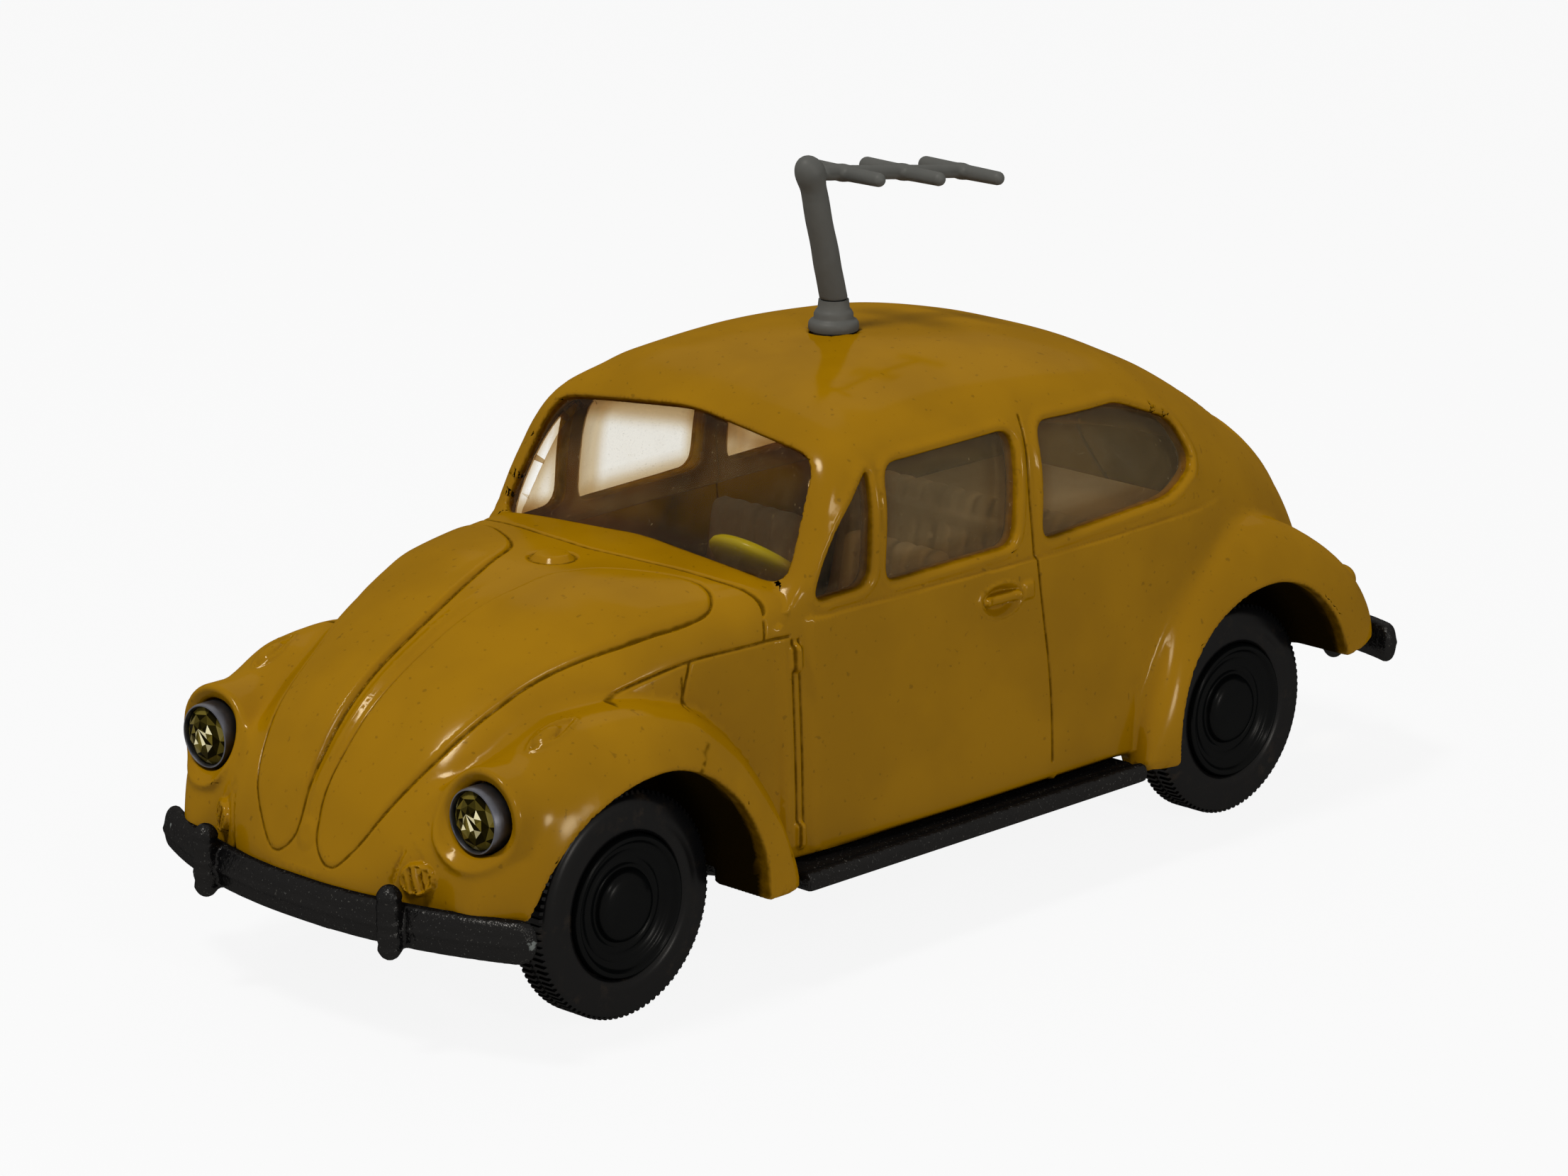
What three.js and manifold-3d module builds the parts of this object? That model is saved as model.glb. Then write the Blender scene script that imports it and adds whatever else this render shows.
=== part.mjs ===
// A die-cast toy saloon car of about 1:43 with a turning roof aerial.
// Millimetres: +X is forward, +Y is the car's left side, +Z is up, and the tyres stand on z = 0.
import * as THREE from "three";
import { mergeVertices } from "three/addons/utils/BufferGeometryUtils.js";
import Module from "manifold-3d";

const wasm = await Module();
wasm.setup();

// Overall layout
const length = 90; // over the bumpers' overriders
const wheelbase = 56.8;
const frontOverhang = 15.7; // front axle to the front overriders
const track = 23.6; // between the middles of the tyres

// Wheels and axles
const tyreDiameter = 14.3;
const tyreWidth = 3.2;
const treadDepth = 0.28;
const lugCount = 32;
const rimDiameter = 9.3;
const hubCapDiameter = 4.6;
const axleDiameter = 1.8;

// Heights of the body above the ground
const sillHeight = 7.3;
const apronHeight = 9.8; // foot of the nose's curve, and lower edge of the tail and the rear fenders' tips
const noseEdgeHeight = 9.3; // lower edge of the nose and the front fenders' tips
const beltHeight = 22.4;
const cowlHeight = 25.25;
const headerHeight = 32.3; // upper edge of the windscreen at the middle
const roofHeight = 35.35;

// Stations along the body, each from the end or the axle that it goes with
const noseSetback = 1.1; // nose behind the front overriders
const tailSetback = 1.9; // tail ahead of the rear overriders
const cowlSetback = 14.3; // foot of the windscreen behind the front axle
const windscreenRake = 3.8; // head of the windscreen behind its foot
const roofSetback = 17.5; // highest point of the roof behind the windscreen's foot

// Half-widths of the body
const doorHalfWidth = 14.9;
const cowlHalfWidth = 13.4;
const fenderHalfWidth = 17.3;
const fenderMiddle = 12; // crest of each fender, from the centre line

// Walls, glass and fits
const wall = 1;
const glassThickness = 0.8;
const fit = 0.3; // gap between pieces that touch or slide
const beltStep = 0.3; // the flanks stand proud of the cabin below the belt line
const windowCorner = 1.2;

// Wheel arches, measured from each axle
const frontArchRise = 9; // top of the arch above the axle
const rearArchRise = 9.3;
const archInside = 8.8; // inner face of the wheel wells from the centre line
const frontArchAhead = 10.3;
const frontArchBehind = 8.4;
const rearArchAhead = 9.9;
const rearArchBehind = 8.4;
const tyreRoom = 0.9; // clear space round the tyres inside the fenders
const frontFenderBehind = 11.7; // rear end of the front fenders
const rearFenderAhead = 12.8; // front end of the rear fenders

// Headlamps
const lampSetback = 3; // front of the lamp barrels behind the nose
const lampSide = 12.05;
const lampHeight = 14.95;
const bezelDiameter = 4.4;
const bezelLength = 2.6;
const jewelDiameter = 3.7;

// Base, bumpers and running boards
const baseBottom = 5.2;
const baseThickness = 1.3;
const spineHalfWidth = 8;
const boardInset = 0.3; // running boards inside the fenders' widest line
const boardThickness = 1.05;
const bumperDepth = 1.3;
const bumperTall = 2.6;
const frontBumper = {
  height: noseEdgeHeight - fit - bumperTall / 2,
  halfWidth: fenderHalfWidth - 0.9,
  sweep: 3.9, // how far the ends curve back
  power: 2.2,
};
const rearBumper = { height: 8.9, halfWidth: fenderHalfWidth - 2.3, sweep: 1.7, power: 3.6 };
const overriderSide = 8.3;
const overriderTall = 4.5;
const overriderWidth = 1.9;
const overriderProud = 0.3;
const bracketWidth = 2.4;
const bracketThickness = 1.2;
const bracketSide = 4.8;
const rivetDiameter = 2;
const rivetHeadDiameter = 3.8;
const rivetHeadThickness = 0.8;
const rivetReach = 5; // bores of the posts above the base
const postDiameter = 4.8;
const bearingHalfLength = 2.2;
const bearingCover = 1.2; // metal over the axles' bores
const frontPostAhead = 6.2; // front post from the front axle

// Cabin fittings
const trayThickness = 1;
const seatWidth = 9;
const seatSide = 6;
const seatHeight = 22.5;
const steeringDiameter = 7;
const steeringSide = 5.3;

// Roof aerial
const aerialSetback = 17.4; // aerial behind the windscreen's foot
const collarDiameter = 3.4;
const collarHeight = 1.7;
const pinDiameter = 1;
const mastDiameter = 1.8;
const mastTop = 46;
const mastLean = 2.2; // the mast's top stands this far ahead of its foot
const knuckleDiameter = 2.5;
const boomDiameter = 0.95;
const boomLength = 14.9;
const boomDrop = 2.1;
const elementLength = 6.9;
const elementDiameter = 0.85;
const elementSpacing = 5.7;
const elementCount = 3;

const frontAxle = length / 2 - frontOverhang;
const rearAxle = frontAxle - wheelbase;
const axleHeight = tyreDiameter / 2;
const noseTip = length / 2 - noseSetback;
const tailTip = -length / 2 + tailSetback;
const windscreenFoot = frontAxle - cowlSetback;
const windscreenHead = windscreenFoot - windscreenRake;
const roofPeak = windscreenFoot - roofSetback;
const aerialStation = windscreenFoot - aerialSetback;
const lampStation = noseTip - lampSetback;
const frontPost = frontAxle + frontPostAhead;
const rearPost = (rearAxle + 2 * tailTip) / 3; // two thirds of the way to the tail
const boardHalfWidth = fenderHalfWidth - boardInset;
const baseTop = baseBottom + baseThickness;
const bearingTop = axleHeight + axleDiameter / 2 + bearingCover;
const boardTop = sillHeight - fit;
const glassOutside = wall + fit;
const glassInside = glassOutside + glassThickness;

const paint = new THREE.MeshStandardMaterial({ color: 0xa87a08, roughness: 0.35, metalness: 0.1 });
const blackCasting = new THREE.MeshStandardMaterial({ color: 0x121212, roughness: 0.55, metalness: 0.2 });
const clearPlastic = new THREE.MeshStandardMaterial({ color: 0xe6e6e2, roughness: 0.1, metalness: 0 });
const creamPlastic = new THREE.MeshStandardMaterial({ color: 0xcdbf9f, roughness: 0.5, metalness: 0 });
const olivePlastic = new THREE.MeshStandardMaterial({ color: 0x7d7a08, roughness: 0.4, metalness: 0 });
const blackPlastic = new THREE.MeshStandardMaterial({ color: 0x0d0e10, roughness: 0.4, metalness: 0 });
const tyrePlastic = new THREE.MeshStandardMaterial({ color: 0x141311, roughness: 0.7, metalness: 0 });
const greyPlastic = new THREE.MeshStandardMaterial({ color: 0x6d6f6e, roughness: 0.55, metalness: 0 });
const gunmetal = new THREE.MeshStandardMaterial({ color: 0x4b4c50, roughness: 0.4, metalness: 0.7 });
const jewelGlass = new THREE.MeshStandardMaterial({ color: 0xb9ab6a, roughness: 0.08, metalness: 0.3 });
const steel = new THREE.MeshStandardMaterial({ color: 0x8d8d8a, roughness: 0.35, metalness: 1 });

const car = new THREE.Group();
car.name = "toy_car";

function addPiece(name, geometry, material) {
  const mesh = new THREE.Mesh(geometry, material);
  mesh.name = name;
  car.add(mesh);
  return mesh;
}

// Solids for joining and cutting
function solid(geometry) {
  const bare = new THREE.BufferGeometry();
  bare.setAttribute("position", geometry.getAttribute("position").clone());
  if (geometry.index) bare.setIndex(geometry.index.clone());
  const merged = mergeVertices(bare, 1e-4);
  return new wasm.Manifold(
    new wasm.Mesh({
      numProp: 3,
      vertProperties: new Float32Array(merged.getAttribute("position").array),
      triVerts: new Uint32Array(merged.index.array),
    })
  );
}

function surface(body) {
  const { vertProperties, triVerts, numProp } = body.getMesh();
  const position = [];
  for (let i = 0; i < vertProperties.length; i += numProp) {
    position.push(vertProperties[i], vertProperties[i + 1], vertProperties[i + 2]);
  }
  const geometry = new THREE.BufferGeometry();
  geometry.setAttribute("position", new THREE.Float32BufferAttribute(position, 3));
  geometry.setIndex([...triVerts]);
  return geometry;
}

function join(bodies) {
  return bodies.reduce((whole, body) => whole.add(body));
}

// The largest of the separate lumps that a cut leaves
function mainLump(body) {
  const lumps = body.decompose().sort((a, b) => b.volume() - a.volume());
  return lumps[0];
}

// A smooth curve through a few points, level at each crest
function curve(points) {
  const knots = [...points].sort((a, b) => a[0] - b[0]);
  const last = knots.length - 1;
  const slope = (i) => (knots[i + 1][1] - knots[i][1]) / (knots[i + 1][0] - knots[i][0]);
  const tangents = knots.map((knot, i) => {
    if (i === 0) return slope(0);
    if (i === last) return slope(last - 1);
    const product = slope(i - 1) * slope(i);
    return product <= 0 ? 0 : (2 * product) / (slope(i - 1) + slope(i));
  });
  return (x) => {
    const at = Math.min(Math.max(x, knots[0][0]), knots[last][0]);
    const next = knots.findIndex((knot) => knot[0] > at);
    const i = next < 0 ? last - 1 : next - 1;
    const span = knots[i + 1][0] - knots[i][0];
    const t = (at - knots[i][0]) / span;
    const rise = knots[i + 1][1] - knots[i][1];
    const ease = t * t * (3 - 2 * t);
    const start = tangents[i] * span * t * (1 - t) * (1 - t);
    const end = tangents[i + 1] * span * t * t * (t - 1);
    return knots[i][1] + rise * ease + start + end;
  };
}

// A closed solid through rings of equally many points, with flat ends
function loft(rings) {
  const count = rings[0].length;
  const position = rings.flat().flatMap((point) => [point.x, point.y, point.z]);
  const index = [];
  for (let i = 0; i + 1 < rings.length; i += 1) {
    for (let j = 0; j < count; j += 1) {
      const k = (j + 1) % count;
      const a = i * count + j;
      const b = i * count + k;
      index.push(a, b, b + count, a, b + count, a + count);
    }
  }
  const end = (rings.length - 1) * count;
  for (let j = 1; j + 1 < count; j += 1) {
    index.push(0, j + 1, j);
    index.push(end, end + j, end + j + 1);
  }
  const geometry = new THREE.BufferGeometry();
  geometry.setAttribute("position", new THREE.Float32BufferAttribute(position, 3));
  geometry.setIndex(index);
  return geometry;
}

function box(low, high) {
  const size = high.map((value, i) => value - low[i]);
  const middle = high.map((value, i) => (value + low[i]) / 2);
  return solid(new THREE.BoxGeometry(...size).translate(...middle));
}

function upright(radius, bottom, top, x, y, sides = 24) {
  const geometry = new THREE.CylinderGeometry(radius, radius, top - bottom, sides);
  return solid(geometry.rotateX(Math.PI / 2).translate(x, y, (top + bottom) / 2));
}

// Profile points are [radius, height] along the axis, which then turns to point along direction
function turned(profile, sides, direction, place) {
  const points = profile.map(([radius, along]) => new THREE.Vector2(radius, along));
  const geometry = new THREE.LatheGeometry(points, sides);
  const turn = new THREE.Quaternion().setFromUnitVectors(new THREE.Vector3(0, 1, 0), direction);
  return geometry.applyQuaternion(turn).translate(place.x, place.y, place.z);
}

// An outline of straight edges moved inwards by inset, with its corners rounded
function roundedOutline(corners, radius, inset = 0) {
  const count = corners.length;
  const points = corners.map((pair) => new THREE.Vector2(...pair));
  const turn = THREE.ShapeUtils.area(points) > 0 ? 1 : -1;
  const edges = points.map((point, i) => {
    const along = points[(i + 1) % count].clone().sub(point).normalize();
    const inward = new THREE.Vector2(-along.y, along.x).multiplyScalar(turn * inset);
    return { start: point.clone().add(inward), along };
  });
  const moved = edges.map((edge, i) => {
    const before = edges[(i + count - 1) % count];
    const cross = before.along.cross(edge.along);
    if (Math.abs(cross) < 1e-6) return edge.start;
    const reach = edge.start.clone().sub(before.start).cross(edge.along) / cross;
    return before.start.clone().addScaledVector(before.along, reach);
  });
  const shape = new THREE.Shape();
  moved.forEach((corner, i) => {
    const before = moved[(i + count - 1) % count].clone().sub(corner);
    const after = moved[(i + 1) % count].clone().sub(corner);
    const cut = Math.min(radius, before.length() / 2.2, after.length() / 2.2);
    const start = corner.clone().addScaledVector(before.normalize(), cut);
    const end = corner.clone().addScaledVector(after.normalize(), cut);
    if (i === 0) shape.moveTo(start.x, start.y);
    else shape.lineTo(start.x, start.y);
    shape.quadraticCurveTo(corner.x, corner.y, end.x, end.y);
  });
  shape.closePath();
  return shape;
}

// Extrusions of outlines drawn in the side view, the front view and the plan view
function sideExtrusion(shape, from, to, curveSegments = 4) {
  const geometry = new THREE.ExtrudeGeometry(shape, {
    depth: to - from,
    bevelEnabled: false,
    curveSegments,
  });
  return solid(geometry.rotateX(Math.PI / 2).translate(0, to, 0));
}

function frontExtrusion(shape, from, to, curveSegments = 4) {
  const geometry = new THREE.ExtrudeGeometry(shape, {
    depth: to - from,
    bevelEnabled: false,
    curveSegments,
  });
  const axes = new THREE.Matrix4().makeBasis(
    new THREE.Vector3(0, 1, 0),
    new THREE.Vector3(0, 0, 1),
    new THREE.Vector3(1, 0, 0)
  );
  return solid(geometry.applyMatrix4(axes).translate(from, 0, 0));
}

function planExtrusion(shape, from, to, curveSegments = 4) {
  const geometry = new THREE.ExtrudeGeometry(shape, {
    depth: to - from,
    bevelEnabled: false,
    curveSegments,
  });
  return solid(geometry.translate(0, 0, from));
}

// Side profile and widths of the cabin with its doors and tail
const cabin = {
  top: curve([
    [windscreenFoot + 1.5, cowlHeight - 3],
    [windscreenFoot, cowlHeight],
    [windscreenHead, headerHeight],
    [windscreenHead - 2, headerHeight + 1.3],
    [windscreenHead - 5.7, roofHeight - 0.6],
    [roofPeak, roofHeight],
    [roofPeak - 7.5, roofHeight - 0.35],
    [roofPeak - 14.5, roofHeight - 1.6],
    [tailTip + 20.3, roofHeight - 3.8],
    [tailTip + 15.3, roofHeight - 6.1],
    [tailTip + 10.3, roofHeight - 9.1],
    [tailTip + 6.3, roofHeight - 12.1],
    [tailTip + 3.3, apronHeight + 9.7],
    [tailTip + 1.3, apronHeight + 5.9],
    [tailTip, apronHeight + 1],
  ]),
  shoulder: curve([
    [windscreenFoot, beltHeight],
    [roofPeak - 8, beltHeight],
    [roofPeak - 17, beltHeight - 2.4],
    [roofPeak - 25.5, beltHeight - 8.4],
    [roofPeak - 33, apronHeight + 1],
    [tailTip, apronHeight],
  ]),
  waist: curve([
    [windscreenFoot + 1.5, cowlHalfWidth + 0.1],
    [windscreenFoot - 2, cowlHalfWidth + 0.6],
    [windscreenFoot - 8, doorHalfWidth - 0.6],
    [roofPeak + 2.5, doorHalfWidth - 0.4],
    [roofPeak - 5.5, doorHalfWidth - 0.2],
    [roofPeak - 17, doorHalfWidth - 0.5],
    [tailTip + 15.3, doorHalfWidth - 1.3],
    [tailTip + 7.3, doorHalfWidth - 3.6],
    [tailTip + 3.3, doorHalfWidth - 5.8],
    [tailTip, doorHalfWidth - 9],
  ]),
  sill: curve([
    [windscreenFoot + 1.5, doorHalfWidth - 0.6],
    [roofPeak + 2.5, doorHalfWidth],
    [roofPeak - 17, doorHalfWidth],
    [tailTip + 7.3, doorHalfWidth - 3.4],
    [tailTip + 3.3, doorHalfWidth - 5.7],
    [tailTip, doorHalfWidth - 9],
  ]),
  proud: curve([
    [windscreenFoot + 1.5, 0],
    [windscreenFoot - 1, beltStep],
    [roofPeak - 13, beltStep],
    [roofPeak - 20, 0],
  ]),
  power: curve([
    [windscreenFoot, 5],
    [windscreenHead, 5],
    [windscreenHead - 4, 3.9],
    [roofPeak, 3.4],
    [tailTip, 2.6],
  ]),
  floor: curve([
    [rearAxle + 8, sillHeight],
    [rearAxle - 6, apronHeight],
  ]),
  stations: [-1.5, -0.7, 0, 1.8, 3.8, 4.8, 6, 8, 11, 15, 19, 23, 27, 31, 34.5]
    .map((x) => windscreenFoot - x)
    .concat([20, 16.5, 13, 10, 7.5, 5.4, 3.8, 2.4, 1.2, 0.4, 0].map((x) => x + tailTip)),
};

// Bonnet and front apron between the fenders
const nose = {
  top: curve([
    [windscreenFoot - 2, cowlHeight - 0.9],
    [windscreenFoot, cowlHeight - 0.1],
    [windscreenFoot + 7, cowlHeight - 0.1],
    [frontAxle - 4.5, cowlHeight - 0.15],
    [frontAxle - 1.8, cowlHeight - 0.75],
    [frontAxle + 1.2, cowlHeight - 1.7],
    [noseTip - 10.5, cowlHeight - 3],
    [noseTip - 7.2, cowlHeight - 4.8],
    [noseTip - 4.9, apronHeight + 8.9],
    [noseTip - 2.9, apronHeight + 6.7],
    [noseTip - 1.5, apronHeight + 4.7],
    [noseTip - 0.7, apronHeight + 2.4],
    [noseTip, apronHeight + 0.4],
  ]),
  shoulder: curve([
    [windscreenFoot - 2, beltHeight - 3],
    [frontAxle - 9, beltHeight - 4],
    [frontAxle, beltHeight - 7],
    [noseTip - 8, apronHeight + 1.9],
    [noseTip, apronHeight],
  ]),
  waist: curve([
    [windscreenFoot - 2, cowlHalfWidth + 0.6],
    [windscreenFoot + 3, cowlHalfWidth + 0.2],
    [frontAxle, cowlHalfWidth - 1.2],
    [noseTip - 6, cowlHalfWidth - 2.6],
    [noseTip - 3, cowlHalfWidth - 3.5],
    [noseTip - 1.5, cowlHalfWidth - 5],
    [noseTip - 0.5, cowlHalfWidth - 7.6],
    [noseTip, cowlHalfWidth - 10.4],
  ]),
  proud: () => 0,
  power: curve([
    [windscreenFoot, 5],
    [frontAxle, 3.4],
    [noseTip, 2.4],
  ]),
  floor: curve([
    [frontAxle - 9, sillHeight],
    [frontAxle + 4, noseEdgeHeight],
  ]),
  stations: [-2, 0, 3, 7, 11, 14]
    .map((x) => x + windscreenFoot)
    .concat([12.5, 10.5, 8.7, 7.2, 5.9, 4.7, 3.5, 2.4, 1.5, 0.8, 0.3, 0].map((x) => noseTip - x)),
};
nose.sill = nose.waist;

const flankSteps = 2;
const skinSteps = 7; // facets of each half arch on the outside
const liningSteps = 4; // and on the hidden inner faces
const ledgeAngle = 0.04; // the arch starts this much above the belt ledge

// A point of the unit superellipse in the direction of an angle
function superellipse(angle, power) {
  const across = Math.cos(angle);
  const up = Math.sin(angle);
  const reach = (Math.abs(across) ** power + Math.abs(up) ** power) ** (-1 / power);
  return [across * reach, up * reach];
}

// A cross-section of the body: flanks up to the shoulder and a superellipse arch over them.
// An inset section lies that far inside the skin, also where the roof slopes.
function bodySection(form, x, inset, floor, steps) {
  const step = 0.05;
  const rise = (form.top(x + step) - form.top(x - step)) / (2 * step);
  const tilt = Math.hypot(rise, 1);
  const station = x + (inset * rise) / tilt;
  const top = form.top(x) - inset / tilt;
  const shoulder = Math.min(form.shoulder(x), top - 0.2);
  const waist = form.waist(x) - inset;
  const sill = form.sill(x) - inset;
  const lowest = Math.min(floor(x), shoulder - 0.2);
  const side = [];
  for (let i = 0; i <= flankSteps; i += 1) {
    const t = i / flankSteps;
    const lean = (waist + form.proud(x) - sill) * t * t;
    side.push([sill + lean, lowest + (shoulder - lowest) * t]);
  }
  for (let i = 0; i < steps; i += 1) {
    const angle = ledgeAngle + ((Math.PI / 2 - ledgeAngle) * i) / steps;
    const [across, up] = superellipse(angle, form.power(x));
    side.push([waist * across, shoulder + (top - shoulder) * up]);
  }
  const left = side.map(([y, z]) => new THREE.Vector3(station, y, z));
  const right = side.map(([y, z]) => new THREE.Vector3(station, -y, z)).reverse();
  return [...left, new THREE.Vector3(station, 0, top), ...right];
}

function bodySkin(form) {
  const order = [...form.stations].sort((a, b) => a - b);
  return solid(loft(order.map((x) => bodySection(form, x, 0, form.floor, skinSteps))));
}

// The room inside the skin, with half the stations and open below
function bodyRoom(form, inset) {
  const order = [...form.stations].sort((a, b) => a - b);
  const few = order.filter((x, i) => i % 2 === 0 || i === order.length - 1);
  const below = () => -1;
  return solid(loft(few.map((x) => bodySection(form, x, inset, below, liningSteps))));
}

// Fenders: arched sections about a crest, from the running board to the lamp or the tail
const frontFender = {
  top: curve([
    [frontAxle - frontFenderBehind, sillHeight - 0.4],
    [frontAxle - frontFenderBehind + 0.5, sillHeight + 3],
    [frontAxle - frontFenderBehind + 1.9, sillHeight + 6.6],
    [frontAxle - frontFenderBehind + 4.3, sillHeight + 9.7],
    [frontAxle - frontFenderBehind + 7.5, sillHeight + 11.7],
    [frontAxle + 0.4, sillHeight + 12.6],
    [frontAxle + 4.2, sillHeight + 12.3],
    [lampStation - 4.6, lampHeight + 3.5],
    [lampStation - 2.5, lampHeight + 2.1],
    [lampStation - 1, lampHeight],
    [lampStation + 0.3, lampHeight - 2.6],
    [lampStation + 1.1, apronHeight + 0.3],
  ]),
  outside: curve([
    [frontAxle - frontFenderBehind, fenderHalfWidth - 0.7],
    [frontAxle - frontFenderBehind + 1.5, fenderHalfWidth - 0.2],
    [frontAxle + 0.7, fenderHalfWidth],
    [frontAxle + 6.7, fenderHalfWidth - 0.7],
    [lampStation - 2.2, fenderHalfWidth - 1.4],
    [lampStation - 1, fenderHalfWidth - 2.2],
    [lampStation + 0.2, fenderHalfWidth - 3.4],
    [lampStation + 1.1, fenderHalfWidth - 4.6],
  ]),
  bottom: curve([
    [frontAxle - 6, sillHeight - 1],
    [frontAxle + 5, noseEdgeHeight],
  ]),
  stations: [0, 0.5, 1.3, 2.6, 4.4, 6.6, 9.1, 12.1, 14.9, 17.1]
    .map((x) => x + frontAxle - frontFenderBehind)
    .concat([-4, -2.4, -1.2, -0.2, 0.6, 1.1].map((x) => x + lampStation)),
};
const rearFender = {
  top: curve([
    [rearAxle + rearFenderAhead, sillHeight - 0.4],
    [rearAxle + rearFenderAhead - 0.6, sillHeight + 3],
    [rearAxle + rearFenderAhead - 2, sillHeight + 6.6],
    [rearAxle + rearFenderAhead - 4.2, sillHeight + 9.9],
    [rearAxle + rearFenderAhead - 7, sillHeight + 12.2],
    [rearAxle + 2.5, sillHeight + 13.4],
    [rearAxle - 1, sillHeight + 13.2],
    [rearAxle - 4.5, sillHeight + 12.1],
    [rearAxle - 7.4, sillHeight + 10.6],
    [rearAxle - 10.4, sillHeight + 8.4],
    [rearAxle - 12.4, sillHeight + 6],
    [rearAxle - 13.7, apronHeight + 0.3],
  ]),
  outside: curve([
    [rearAxle + rearFenderAhead, fenderHalfWidth - 0.6],
    [rearAxle + 9.5, fenderHalfWidth],
    [rearAxle - 2.5, fenderHalfWidth],
    [rearAxle - 6.5, fenderHalfWidth - 0.5],
    [rearAxle - 9.5, fenderHalfWidth - 1],
    [rearAxle - 11.6, fenderHalfWidth - 1.8],
    [rearAxle - 12.9, fenderHalfWidth - 2.7],
    [rearAxle - 13.7, fenderHalfWidth - 3.7],
  ]),
  bottom: curve([
    [rearAxle + 8, sillHeight - 1],
    [rearAxle - 6, apronHeight],
  ]),
  stations: [0, 0.5, 1.3, 2.6, 4.4, 6.7]
    .map((x) => rearAxle + rearFenderAhead - x)
    .concat([3.6, 0.8, -2, -4.9, -7.7, -10, -11.8, -13, -13.7].map((x) => x + rearAxle)),
};
const fenderPower = 2.5;
const fenderSteps = 9;

function fenderLoft(form, side) {
  const order = [...form.stations].sort((a, b) => a - b);
  const rings = order.map((x) => {
    const bottom = form.bottom(x);
    const rise = Math.max(form.top(x) - bottom, 0.4);
    const half = form.outside(x) - fenderMiddle;
    const ring = [];
    for (let i = 0; i <= fenderSteps; i += 1) {
      const [across, up] = superellipse((Math.PI * i) / fenderSteps, fenderPower);
      ring.push(new THREE.Vector3(x, side * fenderMiddle + half * across, bottom + rise * up));
    }
    return ring;
  });
  return solid(loft(rings));
}

// Wheel arch: two quarter ellipses over the axle, open downwards, larger by a margin
const arches = [
  { axle: frontAxle, ahead: frontArchAhead, behind: frontArchBehind, rise: frontArchRise },
  { axle: rearAxle, ahead: rearArchAhead, behind: rearArchBehind, rise: rearArchRise },
];

function archOutline(arch, margin) {
  const shape = new THREE.Shape();
  const centre = axleHeight;
  const ahead = arch.ahead + margin;
  const behind = arch.behind + margin;
  const rise = arch.rise + margin;
  shape.moveTo(arch.axle + ahead, -1);
  shape.lineTo(arch.axle + ahead, centre);
  shape.absellipse(arch.axle, centre, ahead, rise, 0, Math.PI / 2, false);
  shape.absellipse(arch.axle, centre, behind, rise, Math.PI / 2, Math.PI, false);
  shape.lineTo(arch.axle - behind, -1);
  shape.closePath();
  return shape;
}

// Window outlines: side windows as [x, z], the two screens as [y, z]
const ventCorners = [
  [windscreenFoot - 1.4, beltHeight + 0.9],
  [windscreenFoot - 5.9, beltHeight + 1],
  [windscreenFoot - 6.5, beltHeight + 7.9],
  [windscreenFoot - 5, beltHeight + 6.4],
];
const doorCorners = [
  [windscreenFoot - 7.2, beltHeight + 0.9],
  [windscreenFoot - 18.8, beltHeight + 1.1],
  [windscreenFoot - 19.5, beltHeight + 8.4],
  [windscreenFoot - 7.9, beltHeight + 8.1],
];
const quarterCorners = [
  [windscreenFoot - 21.4, beltHeight + 0.9],
  [windscreenFoot - 34.4, beltHeight + 1.3],
  [windscreenFoot - 37.7, beltHeight + 2.8],
  [windscreenFoot - 36.4, beltHeight + 5.8],
  [windscreenFoot - 30.6, beltHeight + 8],
  [windscreenFoot - 21.8, beltHeight + 8.4],
];
const screenCorners = [
  [-cowlHalfWidth + 0.7, cowlHeight - 0.9],
  [0, cowlHeight - 0.1],
  [cowlHalfWidth - 0.7, cowlHeight - 0.9],
  [cowlHalfWidth - 1.9, headerHeight - 0.7],
  [0, headerHeight + 0.5],
  [-cowlHalfWidth + 1.9, headerHeight - 0.7],
];
const rearScreenCorners = [
  [-8.4, beltHeight + 2.8],
  [8.4, beltHeight + 2.8],
  [7.4, beltHeight + 7.8],
  [0, beltHeight + 8.3],
  [-7.4, beltHeight + 7.8],
];

// Prisms through every window, shrunk by inset for the panes that fill them
function windowPrisms(inset) {
  const across = doorHalfWidth + 3;
  const sides = [ventCorners, doorCorners, quarterCorners].map((corners) =>
    sideExtrusion(roundedOutline(corners, windowCorner, inset), -across, across, 2)
  );
  const screen = roundedOutline(screenCorners, windowCorner * 1.3, inset);
  const rearScreen = roundedOutline(rearScreenCorners, windowCorner * 1.6, inset);
  return [
    ...sides,
    frontExtrusion(screen, windscreenHead - 2.4, windscreenFoot + 3, 2),
    frontExtrusion(rearScreen, tailTip, tailTip + 22, 2),
  ];
}

const lampAxis = new THREE.Vector3(1, 0, 0);

// The wall round both wheel wells of an axle, open where the axle and its bearings stand
function wellLining(arch) {
  const outline = archOutline(arch, wall);
  const inside = archInside - wall;
  const floor = sillHeight;
  const half = bearingHalfLength + fit;
  const slot = box([arch.axle - half, -30, -5], [arch.axle + half, 30, bearingTop + fit]);
  const below = box([arch.axle - 30, -30, -5], [arch.axle + 30, 30, floor]);
  const left = sideExtrusion(outline, inside, 30, 5);
  const right = sideExtrusion(outline, -30, -inside, 5);
  return left.add(right).subtract(slot).subtract(below);
}

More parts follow.
